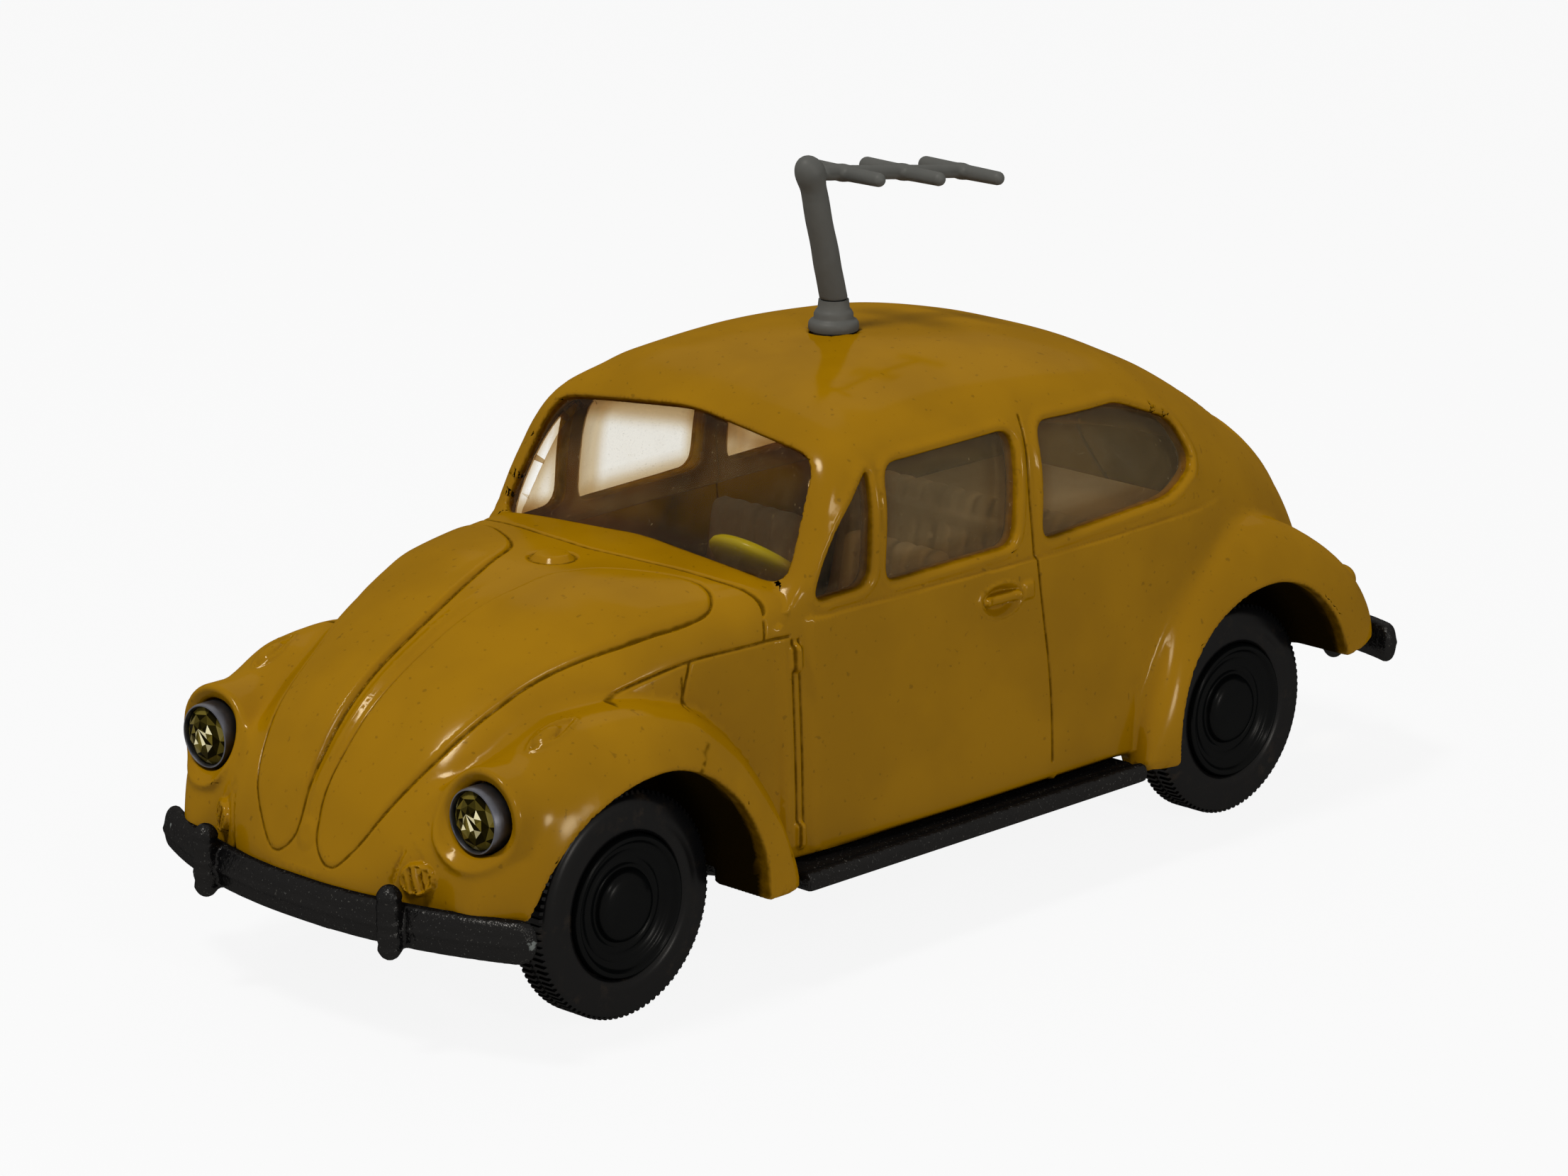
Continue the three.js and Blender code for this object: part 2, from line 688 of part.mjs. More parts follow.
function bodyShell() {
  const fenders = [1, -1].flatMap((side) => [
    fenderLoft(frontFender, side),
    fenderLoft(rearFender, side),
  ]);
  const skin = join([bodySkin(cabin), bodySkin(nose), ...fenders]);
  let body = skin.subtract(bodyRoom(cabin, wall)).subtract(bodyRoom(nose, wall));
  for (const arch of arches) {
    const lining = wellLining(arch).intersect(skin);
    const opening = archOutline(arch, 0);
    body = body.add(lining);
    body = body.subtract(sideExtrusion(opening, archInside, 30, 8));
    body = body.subtract(sideExtrusion(opening, -30, -archInside, 8));
  }
  for (const axle of [frontAxle, rearAxle]) {
    const well = tyreDiameter / 2 + tyreRoom;
    const wellOutside = (track + tyreWidth) / 2 + tyreRoom;
    const drum = new THREE.CylinderGeometry(well, well, 2 * wellOutside, 18);
    const core = box([axle - 20, -archInside, -5], [axle + 20, archInside, roofHeight]);
    body = body.subtract(solid(drum.translate(axle, 0, axleHeight)).subtract(core));
  }
  for (const prism of windowPrisms(0)) body = body.subtract(prism);
  for (const side of [1, -1]) {
    const seat = new THREE.Vector3(lampStation - bezelLength - fit, side * lampSide, lampHeight);
    const radius = bezelDiameter / 2 + fit;
    const hole = [
      [0, 0],
      [radius, 0],
      [radius, bezelLength + 4],
      [0, bezelLength + 4],
    ];
    body = body.subtract(solid(turned(hole, 16, lampAxis, seat)));
  }
  const hole = collarDiameter / 2 - 0.4 + fit;
  body = body.subtract(upright(hole, roofHeight - 4, roofHeight + 4, aerialStation, 0, 16));
  const posts = [
    [frontPost, bodyRoom(nose, wall / 2)],
    [rearPost, bodyRoom(cabin, wall / 2)],
  ];
  for (const [x, room] of posts) {
    const post = upright(postDiameter / 2, baseTop + fit, roofHeight, x, 0, 16).intersect(room);
    const bore = upright(rivetDiameter / 2 + fit, baseBottom, baseTop + rivetReach, x, 0, 16);
    body = body.add(post).subtract(bore);
  }
  return surface(mainLump(body));
}

// One clear moulding: a thin dome inside the cabin with a pane standing out into each window
function glazing() {
  const outside = bodyRoom(cabin, glassOutside);
  const inside = bodyRoom(cabin, glassInside);
  const glassBottom = beltHeight - 0.2;
  const glassRear = rearPost + postDiameter / 2 + fit;
  const above = box([glassRear, -30, glassBottom], [windscreenFoot + 8, 30, roofHeight + 5]);
  const panesRoom = bodyRoom(cabin, fit);
  const panes = windowPrisms(fit).map((prism) => prism.intersect(panesRoom));
  const dome = join([outside, ...panes]).subtract(inside).intersect(above);
  const aerialHole = upright(collarDiameter / 2 + 0.4, roofHeight - 6, roofHeight, aerialStation, 0, 16);
  return surface(mainLump(dome.subtract(aerialHole)));
}

// Bumper bar: a ridged section swept along a curve that falls back to its ends
function bumperBar(face, bumper, forward) {
  const halfDepth = bumperDepth / 2;
  const halfTall = bumperTall / 2;
  const outline = [
    [1, 0],
    [0.7, 0.6],
    [0.1, 1],
    [-1, 0.7],
    [-1, -0.7],
    [0.1, -1],
    [0.7, -0.6],
  ];
  const places = [-1, -0.95, -0.78, -0.56, -0.28];
  const steps = [...places, 0, ...places.map((t) => -t).reverse()];
  const rings = steps.map((t) => {
    const y = t * bumper.halfWidth;
    const x = face - halfDepth - bumper.sweep * Math.abs(t) ** bumper.power;
    const slope = bumper.sweep * bumper.power * Math.sign(t) * Math.abs(t) ** (bumper.power - 1);
    const normal = new THREE.Vector2(1, slope / bumper.halfWidth).normalize();
    const size = Math.abs(t) === 1 ? 0.6 : 1;
    return outline.map(([out, up]) => {
      const reach = out * halfDepth * size;
      const along = forward * (x + normal.x * reach);
      return new THREE.Vector3(along, y + normal.y * reach, bumper.height + up * halfTall * size);
    });
  });
  return solid(loft(forward > 0 ? rings.reverse() : rings));
}

function overrider(x, y, height) {
  const half = overriderTall / 2;
  const radius = overriderWidth / 2;
  const profile = [
    [0, -half],
    [radius * 0.65, -half + 0.12],
    [radius, -half + 0.7],
    [radius, half - 0.7],
    [radius * 0.65, half - 0.12],
    [0, half],
  ];
  const place = new THREE.Vector3(x, y, height + 0.3);
  return solid(turned(profile, 8, new THREE.Vector3(0, 0, 1), place));
}

// Black casting under the car, with its running boards, bumpers and axle bearings
function basePlate() {
  const boardRear = rearAxle + rearFenderAhead + fit;
  const boardFront = frontAxle - frontFenderBehind - fit;
  const innerWidth = doorHalfWidth - wall - 0.6;
  const half = [
    [frontPost + 2.8, 4],
    [frontPost + 0.8, spineHalfWidth - 1],
    [frontAxle + 2, spineHalfWidth],
    [boardFront + 0.5, spineHalfWidth],
    [boardFront - 0.6, innerWidth],
    [boardRear + 0.6, innerWidth],
    [boardRear - 0.5, spineHalfWidth],
    [rearAxle - 2, spineHalfWidth],
    [rearPost - 2, spineHalfWidth - 1],
    [rearPost - 3.6, 4],
  ];
  const outline = half.concat(half.map(([x, y]) => [x, -y]).reverse());
  let base = planExtrusion(roundedOutline(outline, 1), baseBottom, baseTop, 2);
  const boardBottom = boardTop - boardThickness;
  const boardSection = [
    [innerWidth - 1.5, boardBottom],
    [boardHalfWidth - 0.4, boardBottom],
    [boardHalfWidth, boardBottom + 0.4],
    [boardHalfWidth, boardTop - 0.1],
    [boardHalfWidth - 0.4, boardTop + 0.15],
    [boardHalfWidth - 0.8, boardTop],
    [innerWidth - 1.5, boardTop],
  ];
  for (const side of [1, -1]) {
    const points = boardSection.map(([y, z]) => new THREE.Vector2(side * y, z));
    base = base.add(frontExtrusion(new THREE.Shape(points), boardRear, boardFront));
  }
  const face = length / 2 - overriderProud;
  const radius = overriderWidth / 2;
  for (const [bumper, post, forward] of [
    [frontBumper, frontPost, 1],
    [rearBumper, -rearPost, -1],
  ]) {
    base = base.add(bumperBar(face, bumper, forward));
    const inner = post - 3;
    const bend = post + 1;
    const outer = face - bumperDepth * 0.7;
    const half = bracketThickness / 2;
    const bracket = [
      [inner, baseTop - bracketThickness],
      [bend, baseTop - bracketThickness],
      [outer, bumper.height - half],
      [outer, bumper.height + half],
      [bend, baseTop],
      [inner, baseTop],
    ].map(([x, z]) => new THREE.Vector2(forward * x, z));
    for (const side of [1, -1]) {
      base = base.add(overrider(forward * (length / 2 - radius), side * overriderSide, bumper.height));
      const near = side * bracketSide - bracketWidth / 2;
      base = base.add(sideExtrusion(new THREE.Shape(bracket), near, near + bracketWidth));
    }
  }
  for (const axle of [frontAxle, rearAxle]) {
    const bearingOutside = archInside - 0.6;
    for (const side of [1, -1]) {
      const ends = [side * (bearingOutside - 2.6), side * bearingOutside].sort((a, b) => a - b);
      const low = [axle - bearingHalfLength, ends[0], baseBottom];
      base = base.add(box(low, [axle + bearingHalfLength, ends[1], bearingTop]));
    }
    const bore = new THREE.CylinderGeometry(axleDiameter / 2 + fit, axleDiameter / 2 + fit, 30, 14);
    base = base.subtract(solid(bore.translate(axle, 0, axleHeight)));
  }
  for (const x of [frontPost, rearPost]) {
    base = base.subtract(upright(rivetDiameter / 2 + fit, 0, 12, x, 0, 16));
  }
  return surface(mainLump(base));
}

// Cream seat moulding: floor, scuttle, two front seats, rear bench and parcel shelf
function seatTray() {
  const floorBottom = boardTop + fit;
  const floorTop = floorBottom + trayThickness;
  const reach = doorHalfWidth - wall - 1.4;
  const front = windscreenFoot - 3.2;
  const rear = rearAxle + rearArchAhead + wall + fit;
  const plan = [
    [front, reach - 1],
    [rear, reach],
    [rear, -reach],
    [front, -reach + 1],
  ];
  const pieces = [planExtrusion(roundedOutline(plan, 1), floorBottom, floorTop, 2)];
  const scuttleTop = beltHeight - 0.2;
  pieces.push(box([front - 1, -reach + 1.5, floorBottom], [front, reach - 1.5, scuttleTop]));
  const seatFront = windscreenFoot - 9;
  const seat = [
    [seatFront, floorBottom + 0.2],
    [seatFront - 0.2, floorTop + 4],
    [seatFront - 5.6, floorTop + 3.4],
    [seatFront - 7.4, seatHeight],
    [seatFront - 9, seatHeight],
    [seatFront - 7.8, floorBottom + 0.2],
  ];
  for (const side of [1, -1]) {
    const from = side * seatSide - seatWidth / 2;
    pieces.push(sideExtrusion(roundedOutline(seat, 0.8), from, from + seatWidth, 2));
  }
  const benchFront = rear + 8;
  const bench = [
    [benchFront, floorBottom + 0.2],
    [benchFront - 0.2, floorTop + 5],
    [benchFront - 5.4, floorTop + 4.4],
    [benchFront - 7.6, seatHeight - 0.8],
    [benchFront - 9, seatHeight - 0.8],
    [rear + 0.1, floorBottom + 0.2],
  ];
  pieces.push(sideExtrusion(roundedOutline(bench, 0.8), -reach + 0.6, reach - 0.6, 2));
  const shelfTop = beltHeight - 2;
  const shelf = [
    [benchFront - 7, reach - 1.4],
    [rearAxle - 2, reach - 3.2],
    [rearAxle - 2, -reach + 3.2],
    [benchFront - 7, -reach + 1.4],
  ];
  pieces.push(planExtrusion(roundedOutline(shelf, 1), shelfTop - trayThickness, shelfTop, 2));
  return surface(mainLump(join(pieces)));
}

// Solid dished steering wheel on a column that runs down to the scuttle
function steeringWheel() {
  const radius = steeringDiameter / 2;
  const axis = new THREE.Vector3(-0.72, 0, 0.69).normalize();
  const columnLength = 2.2;
  const profile = [
    [0, -columnLength],
    [0.6, -columnLength],
    [0.6, -0.5],
    [radius - 0.8, -0.3],
    [radius - 0.2, -0.1],
    [radius, 0.35],
    [radius - 0.3, 0.8],
    [radius - 0.9, 0.75],
    [radius * 0.4, 0.45],
    [0, 0.7],
  ];
  const scuttleFace = windscreenFoot - 4.2 - fit;
  const foot = new THREE.Vector3(scuttleFace - 0.5, steeringSide, beltHeight - 1);
  return turned(profile, 16, axis, foot.addScaledVector(axis, columnLength));
}

// Tapered barrel with a socket for the faceted jewel
function lampBezel(side) {
  const radius = bezelDiameter / 2;
  const socket = jewelDiameter / 2 + fit / 2;
  const profile = [
    [0, 0],
    [radius - 0.25, 0],
    [radius, 0.4],
    [radius, bezelLength - 0.35],
    [radius - 0.12, bezelLength],
    [socket, bezelLength],
    [socket, bezelLength - 1],
    [0, bezelLength - 1.5],
  ];
  const place = new THREE.Vector3(lampStation - bezelLength, side * lampSide, lampHeight);
  return turned(profile, 16, lampAxis, place);
}

function lampJewel(side) {
  const radius = jewelDiameter / 2 - fit / 2;
  const table = bezelLength + 0.35;
  const profile = [
    [0, bezelLength - 1.5 + fit],
    [radius, bezelLength - 0.65],
    [radius, bezelLength - 0.4],
    [radius * 0.72, table - 0.12],
    [radius * 0.36, table],
    [0, table],
  ];
  const place = new THREE.Vector3(lampStation - bezelLength, side * lampSide, lampHeight);
  return turned(profile, 8, lampAxis, place);
}

// Tyre with a toothed tread band between two rounded sidewalls
function tyre(axle, side) {
  const outside = tyreDiameter / 2;
  const bore = rimDiameter / 2;
  const half = tyreWidth / 2;
  const band = new THREE.Shape();
  for (let i = 0; i < lugCount * 2; i += 1) {
    const radius = i % 2 === 0 ? outside : outside - treadDepth;
    const angle = (Math.PI * i) / lugCount - Math.PI / 2;
    const point = [radius * Math.cos(angle), radius * Math.sin(angle)];
    if (i === 0) band.moveTo(...point);
    else band.lineTo(...point);
  }
  band.closePath();
  const shoulder = 0.55;
  const tread = sideExtrusion(band, -half + shoulder, half - shoulder);
  const profile = [
    [0, -half + 0.1],
    [bore + 0.5, -half],
    [outside - 1.3, -half],
    [outside - treadDepth - 0.3, -half + shoulder],
    [outside - treadDepth - 0.3, half - shoulder],
    [outside - 1.3, half],
    [bore + 0.5, half],
    [0, half - 0.1],
  ];
  const origin = new THREE.Vector3();
  const across = new THREE.Vector3(0, 1, 0);
  const carcass = solid(turned(profile, 18, across, origin));
  const hole = new THREE.CylinderGeometry(bore, bore, tyreWidth * 2, 18);
  const ring = tread.add(carcass).subtract(solid(hole));
  return surface(ring).translate(axle, (side * track) / 2, axleHeight);
}

// Moulded hub: barrel under the tyre, ringed disc and a domed cap
function hub(axle, side) {
  const barrel = rimDiameter / 2 - fit / 2;
  const cap = hubCapDiameter / 2;
  const half = tyreWidth / 2;
  const boss = axleDiameter / 2 + 0.9;
  const bore = axleDiameter / 2 + fit / 2;
  const inside = -(track / 2 - archInside);
  const face = half - 0.75;
  const profile = [
    [bore, inside],
    [boss, inside],
    [boss, -half + 0.4],
    [barrel, -half + 0.4],
    [barrel, half],
    [barrel - 0.35, half + 0.1],
    [barrel - 0.8, face + 0.2],
    [cap, face],
    [cap - 0.25, face + 0.55],
    [0, face + 0.95],
    [0, half - 1.2],
    [bore, half - 1.2],
    [bore, inside],
  ];
  const place = new THREE.Vector3(axle, (side * track) / 2, axleHeight);
  return turned(profile, 12, new THREE.Vector3(0, side, 0), place);
}

function axlePin(axle) {
  const half = track / 2 + tyreWidth / 2 - 1.2 - fit;
  const radius = axleDiameter / 2;
  const profile = [
    [0, -half],
    [radius - 0.2, -half],
    [radius, -half + 0.3],
    [radius, half - 0.3],
    [radius - 0.2, half],
    [0, half],
  ];
  const place = new THREE.Vector3(axle, 0, axleHeight);
  return turned(profile, 12, new THREE.Vector3(0, 1, 0), place);
}

function rivet(x) {
  const head = rivetHeadDiameter / 2;
  const shank = rivetDiameter / 2;
  const seat = baseBottom - fit;
  const profile = [
    [0, seat - rivetHeadThickness],
    [head * 0.6, seat - rivetHeadThickness],
    [head, seat - rivetHeadThickness * 0.4],
    [head, seat],
    [shank, seat],
    [shank, baseTop + rivetReach - fit],
    [0, baseTop + rivetReach - fit],
  ];
  const place = new THREE.Vector3(x, 0, 0);
  return turned(profile, 12, new THREE.Vector3(0, 0, 1), place);
}

// Aerial: a collar plugged into the roof, a leaning mast that turns in it, and the array on top
const up = new THREE.Vector3(0, 0, 1);
const collarSeat = cabin.top(aerialStation) + fit;
const collarTop = collarSeat + collarHeight;
const collarBore = pinDiameter / 2 + fit;

function aerialCollar() {
  const radius = collarDiameter / 2;
  const spigot = radius - 0.4;
  const profile = [
    [collarBore, collarSeat - wall - 0.8],
    [spigot, collarSeat - wall - 0.8],
    [spigot, collarSeat],
    [radius, collarSeat],
    [radius, collarSeat + 0.65],
    [radius - 0.25, collarSeat + 0.8],
    [radius - 0.2, collarSeat + 1.3],
    [radius - 0.55, collarTop],
    [collarBore, collarTop],
    [collarBore, collarSeat - wall - 0.8],
  ];
  return turned(profile, 16, up, new THREE.Vector3(aerialStation, 0, 0));
}

const mastFoot = new THREE.Vector3(aerialStation, 0, collarTop + fit);
const knuckle = new THREE.Vector3(aerialStation + mastLean, 0, mastTop);

function aerialMast() {
  const radius = mastDiameter / 2;
  const levels = [
    [pinDiameter / 2, collarSeat - wall - 1, 0],
    [pinDiameter / 2, mastFoot.z, 0],
    [radius, mastFoot.z, 0],
    [radius, mastFoot.z + 0.6, 0],
    [radius * 0.93, mastTop, mastLean],
  ];
  const sides = 12;
  const rings = levels.map(([size, z, ahead]) =>
    Array.from({ length: sides }, (unused, i) => {
      const angle = (2 * Math.PI * i) / sides;
      const x = aerialStation + ahead + size * Math.cos(angle);
      return new THREE.Vector3(x, size * Math.sin(angle), z);
    })
  );
  const ball = new THREE.SphereGeometry(knuckleDiameter / 2, 10, 6).translate(...knuckle);
  return surface(solid(loft(rings)).add(solid(ball)));
}

// Boom with its cross elements; it starts beside the knuckle and falls slightly to the rear
function aerialArray() {
  const direction = new THREE.Vector3(-boomLength, 0, -boomDrop).normalize();
  const start = knuckle.clone().addScaledVector(direction, knuckleDiameter / 2 + fit);
  const rod = (radius, reach, along, from) =>
    solid(
      turned(
        [
          [0, 0],
          [radius, 0],
          [radius, reach],
          [0, reach],
        ],
        8,
        along,
        from
      )
    );
  const pieces = [rod(boomDiameter / 2, boomLength - knuckleDiameter / 2, direction, start)];
  for (let i = 0; i < elementCount; i += 1) {
    const middle = boomLength - 0.5 - elementSpacing * (elementCount - 1 - i);
    const from = knuckle.clone().addScaledVector(direction, middle);
    from.y -= elementLength / 2;
    pieces.push(rod(elementDiameter / 2, elementLength, new THREE.Vector3(0, 1, 0), from));
  }
  return surface(join(pieces));
}

addPiece("body_shell", bodyShell(), paint);
addPiece("base_plate", basePlate(), blackCasting);
addPiece("window_glazing", glazing(), clearPlastic);
addPiece("seat_tray", seatTray(), creamPlastic);
addPiece("steering_wheel", steeringWheel(), olivePlastic);

for (const [name, side] of [
  ["left", 1],
  ["right", -1],
]) {
  addPiece(`headlamp_bezel_${name}`, lampBezel(side), gunmetal);
  addPiece(`headlamp_jewel_${name}`, lampJewel(side), jewelGlass);
  for (const [end, axle] of [
    ["front", frontAxle],
    ["rear", rearAxle],
  ]) {
    addPiece(`${end}_hub_${name}`, hub(axle, side), blackPlastic);
    addPiece(`${end}_tyre_${name}`, tyre(axle, side), tyrePlastic);
  }
}

addPiece("front_axle", axlePin(frontAxle), steel);
addPiece("rear_axle", axlePin(rearAxle), steel);
addPiece("front_rivet", rivet(frontPost), steel);
addPiece("rear_rivet", rivet(rearPost), steel);
addPiece("aerial_collar", aerialCollar(), greyPlastic);
addPiece("aerial_mast", aerialMast(), greyPlastic);
addPiece("aerial_array", aerialArray(), greyPlastic);

export default car;
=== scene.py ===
import math

import bmesh
import bpy
import numpy as np
from mathutils import Matrix, Vector


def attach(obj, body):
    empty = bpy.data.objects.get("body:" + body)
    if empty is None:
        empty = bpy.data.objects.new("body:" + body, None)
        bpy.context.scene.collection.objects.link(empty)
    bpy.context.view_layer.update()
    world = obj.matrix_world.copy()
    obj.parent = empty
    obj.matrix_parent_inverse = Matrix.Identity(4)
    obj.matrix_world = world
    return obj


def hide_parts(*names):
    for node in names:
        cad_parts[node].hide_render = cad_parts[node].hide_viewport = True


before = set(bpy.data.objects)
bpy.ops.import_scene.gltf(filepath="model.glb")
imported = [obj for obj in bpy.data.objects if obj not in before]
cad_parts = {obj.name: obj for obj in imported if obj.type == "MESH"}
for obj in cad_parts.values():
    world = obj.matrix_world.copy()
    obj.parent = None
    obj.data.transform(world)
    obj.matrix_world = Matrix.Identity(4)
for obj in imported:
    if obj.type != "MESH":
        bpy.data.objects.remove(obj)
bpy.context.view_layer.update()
mm = 0.001  # shapes are worked out in millimetres and made in metres
print("frame: loaded", len(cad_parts), "nodes")


# Shader and geometry nodes

class Wire:
    def __init__(self, tree, socket=None):
        self.tree = tree
        self.socket = socket

    def node(self, kind, values=None, output=0, **settings):
        made = self.tree.nodes.new(kind)
        for name, value in settings.items():
            setattr(made, name, value)
        for name, value in (values or {}).items():
            if isinstance(value, Wire):
                self.tree.links.new(value.socket, made.inputs[name])
            elif value is not None:
                made.inputs[name].default_value = value
        outputs = made.outputs
        return Wire(self.tree, outputs[output] if len(outputs) else None)

    def math(self, operation, first, second):
        return self.node("ShaderNodeMath", {0: first, 1: second}, operation=operation)

    def __add__(self, other):
        return self.math("ADD", self, other)

    __radd__ = __add__

    def __mul__(self, other):
        return self.math("MULTIPLY", self, other)

    __rmul__ = __mul__

    def __sub__(self, other):
        return self.math("SUBTRACT", self, other)

    def __rsub__(self, other):
        return self.math("SUBTRACT", other, self)

    def above(self, low, high):  # 0 below low, 1 above high, eased between
        limits = {"Value": self, "From Min": low, "From Max": high}
        return self.node("ShaderNodeMapRange", limits, interpolation_type="SMOOTHSTEP")

    def noise(self, size, detail=2.0, rough=0.5):  # size of the blotches in millimetres
        values = {"Vector": self, "Scale": 1 / (size * mm), "Detail": detail, "Roughness": rough}
        return self.node("ShaderNodeTexNoise", values)

    def mix(self, first, second):  # self is the share of the second colour
        first, second = (c if isinstance(c, Wire) else (*c, 1) for c in (first, second))
        return self.node("ShaderNodeMix", {0: self, 6: first, 7: second}, 2, data_type="RGBA")

    def blend(self, first, second):  # self is the share of the second shader
        return self.node("ShaderNodeMixShader", {0: self, 1: first, 2: second})


def material(name, build, *values):
    made = bpy.data.materials.new(name)
    made.use_nodes = True
    made.node_tree.nodes.clear()
    start = Wire(made.node_tree)
    place = start.node("ShaderNodeTexCoord", None, "Object")
    start.node("ShaderNodeOutputMaterial", {"Surface": build(start, place, *values)})
    return made


def marked(start, name):  # an attribute that the piece's mesh carries
    return start.node("ShaderNodeAttribute", None, "Fac", attribute_name=name)


def bumped(start, height, depth, strength):  # depth in millimetres
    values = {"Height": height, "Distance": depth * mm, "Strength": strength}
    return start.node("ShaderNodeBump", values)


def dull(start, colour, rough, normal=None, metal=None):  # a surface without gloss of its own
    values = {"Base Color": colour, "Roughness": rough, "Normal": normal, "Metallic": metal}
    return start.node("ShaderNodeBsdfPrincipled", {**values, "Specular IOR Level": 0.0})


warmWhite = (1, 0.95, 0.88)


def filmed(start, under, share, rough, normal=None, tint=warmWhite):  # a thin even gloss over a dull shader
    film = start.node("ShaderNodeBsdfPrincipled", {
        "Base Color": (*tint, 1), "Metallic": 1.0, "Roughness": rough, "Normal": normal})
    return start.node("ShaderNodeMixShader", {0: share, 1: under, 2: film})


# The third colour darkens dirty lines and paints shade along the window and wheel arch edges; the fourth is
# painted shade inside the shell and in the wheel wells.
enamel = {
    "light": (0.315, 0.152, 0.0008), "deep": (0.27, 0.129, 0.0006), "grimeAndShade": (0.035, 0.015, 0.0008),
    "inner": (0.014, 0.008, 0.001), "gloss": 0.011, "glossRough": 0.14, "glossTint": (1, 0.85, 0.58),
}


def ochreEnamel(start, place):
    line, inside = marked(start, "line"), marked(start, "inside")
    lineDirtAndShade = (line * (0.55 + 0.9 * place.noise(0.7, 2))).above(0.3, 0.95)
    speck = place.noise(0.42, 1).above(0.70, 0.76)
    colour = place.noise(9, 3).above(0.35, 0.65).mix(enamel["deep"], enamel["light"])
    # painted shade along the window and arch edges, dirt in the panel lines
    colour = (lineDirtAndShade * 0.75).mix(colour, enamel["grimeAndShade"])
    colour = (speck * 0.3).mix(colour, enamel["grimeAndShade"])
    # painted shade inside the shell and in the wheel wells
    colour = inside.mix(colour, enamel["inner"])
    normal = bumped(start, place.noise(1.6, 2) + 0.25 * place.noise(0.35, 3), 0.03, 0.35)
    shader = dull(start, colour, 0.4 + 0.12 * place.noise(4, 3) + 0.3 * lineDirtAndShade, normal)
    share = enamel["gloss"] * (1 - lineDirtAndShade) * (1 - inside)
    return filmed(start, shader, share, enamel["glossRough"], normal, enamel["glossTint"])


# the dust and fine speck colours are painted glints on the rough casting
chipped = {
    "light": (0.006, 0.0055, 0.005), "deep": (0.0025, 0.0025, 0.003), "metal": (0.13, 0.14, 0.13),
    "dust": (0.14, 0.13, 0.11), "fineGlint": (0.12, 0.12, 0.11), "gloss": 0.011, "glossRough": 0.22,
}


def blackEnamel(start, place):
    worn = (marked(start, "bare") * (0.1 + 1.5 * place.noise(0.35, 3))).above(0.45, 0.6)
    colour = place.noise(3, 2).mix(chipped["deep"], chipped["light"])
    # painted glints: light specks of two sizes stand in for sparkle on the rough casting
    colour = (place.noise(0.22, 2).above(0.68, 0.74) * 0.3).mix(colour, chipped["dust"])
    colour = worn.mix(colour, chipped["metal"])
    colour = (place.noise(0.14, 2).above(0.66, 0.74) * 0.5).mix(colour, chipped["fineGlint"])
    normal = bumped(start, place.noise(0.45, 3, 0.6) + 0.5 * place.noise(1.5, 2), 0.12, 0.8)
    shader = dull(start, colour, 0.4 + 0.2 * place.noise(1.1, 2), normal, worn * 0.5)
    return filmed(start, shader, chipped["gloss"], chipped["glossRough"], normal)


windowPlastic = {  # what passes through it, what its dust gives back, and how far forward the haze goes in mm; the edge tint is painted shade at the pane borders and the haze is dust with a painted sheen
    "clear": (0.98, 0.975, 0.955, 1), "edgeShade": (0.7, 0.58, 0.4, 1), "shadow": (0.97, 0.9, 0.76, 1),
    "dust": (0.64, 0.47, 0.23, 1), "hazeAndSheen": 0.055, "hazeAndSheenEnd": (8, 11),
    "gloss": 0.006, "glossRough": 0.08, "glossTint": (1, 0.85, 0.62),
}


def clearPlastic(start, place):
    pane, border = marked(start, "pane"), marked(start, "border")
    clear, edgeShade, shadow = (start.node("ShaderNodeBsdfTransparent", {"Color": windowPlastic[k]})
                            for k in ("clear", "edgeShade", "shadow"))
    dusty = start.node("ShaderNodeBsdfDiffuse", {"Color": windowPlastic["dust"]})
    dust = place.noise(0.16, 3, 0.7).above(0.63, 0.72) * 0.3 + place.noise(1.6, 2).above(0.45, 0.8) * 0.02
    along = start.node("ShaderNodeSeparateXYZ", {0: place}, "X")
    hazeAndSheen = windowPlastic["hazeAndSheen"] * (1 - along.above(*(v * mm for v in windowPlastic["hazeAndSheenEnd"])))
    # painted light: the pane borders take the darker edge tint as painted shade, and the brown haze behind
    # the windscreen is dust with a painted sheen
    whole = (dust + hazeAndSheen + 0.12 * (1 - pane)).blend(border.blend(clear, edgeShade), dusty)
    normal = bumped(start, place.noise(3, 1), 0.05, 0.4)
    share = windowPlastic["gloss"] + windowPlastic["gloss"] * pane * border
    whole = filmed(start, whole, share, windowPlastic["glossRough"], normal, windowPlastic["glossTint"])
    ray = start.node("ShaderNodeLightPath", None, "Is Shadow Ray")
    return ray.blend(whole, shadow)


def plainPlastic(start, place, light, deep, rough, bump=0.02, gloss=0.01):
    colour = place.noise(2.5, 3).mix(deep, light)
    normal = bumped(start, place.noise(0.6, 3), bump, 0.5)
    shader = dull(start, colour, rough + 0.16 * (place.noise(1.2, 2) - 0.5), normal)
    return filmed(start, shader, gloss, rough)


def tyreVinyl(start, place):
    dust = place.noise(1.1, 4, 0.65).above(0.5, 0.72)
    share = dust * (0.03 + 0.12 * place.noise(4, 2).above(0.4, 0.7))
    colour = share.mix((0.003, 0.003, 0.0032), (0.09, 0.06, 0.035))
    normal = bumped(start, place.noise(0.5, 3), 0.03, 0.6)
    shader = dull(start, colour, 0.4 + 0.3 * dust, normal)
    return filmed(start, shader, 0.0095, 0.28)


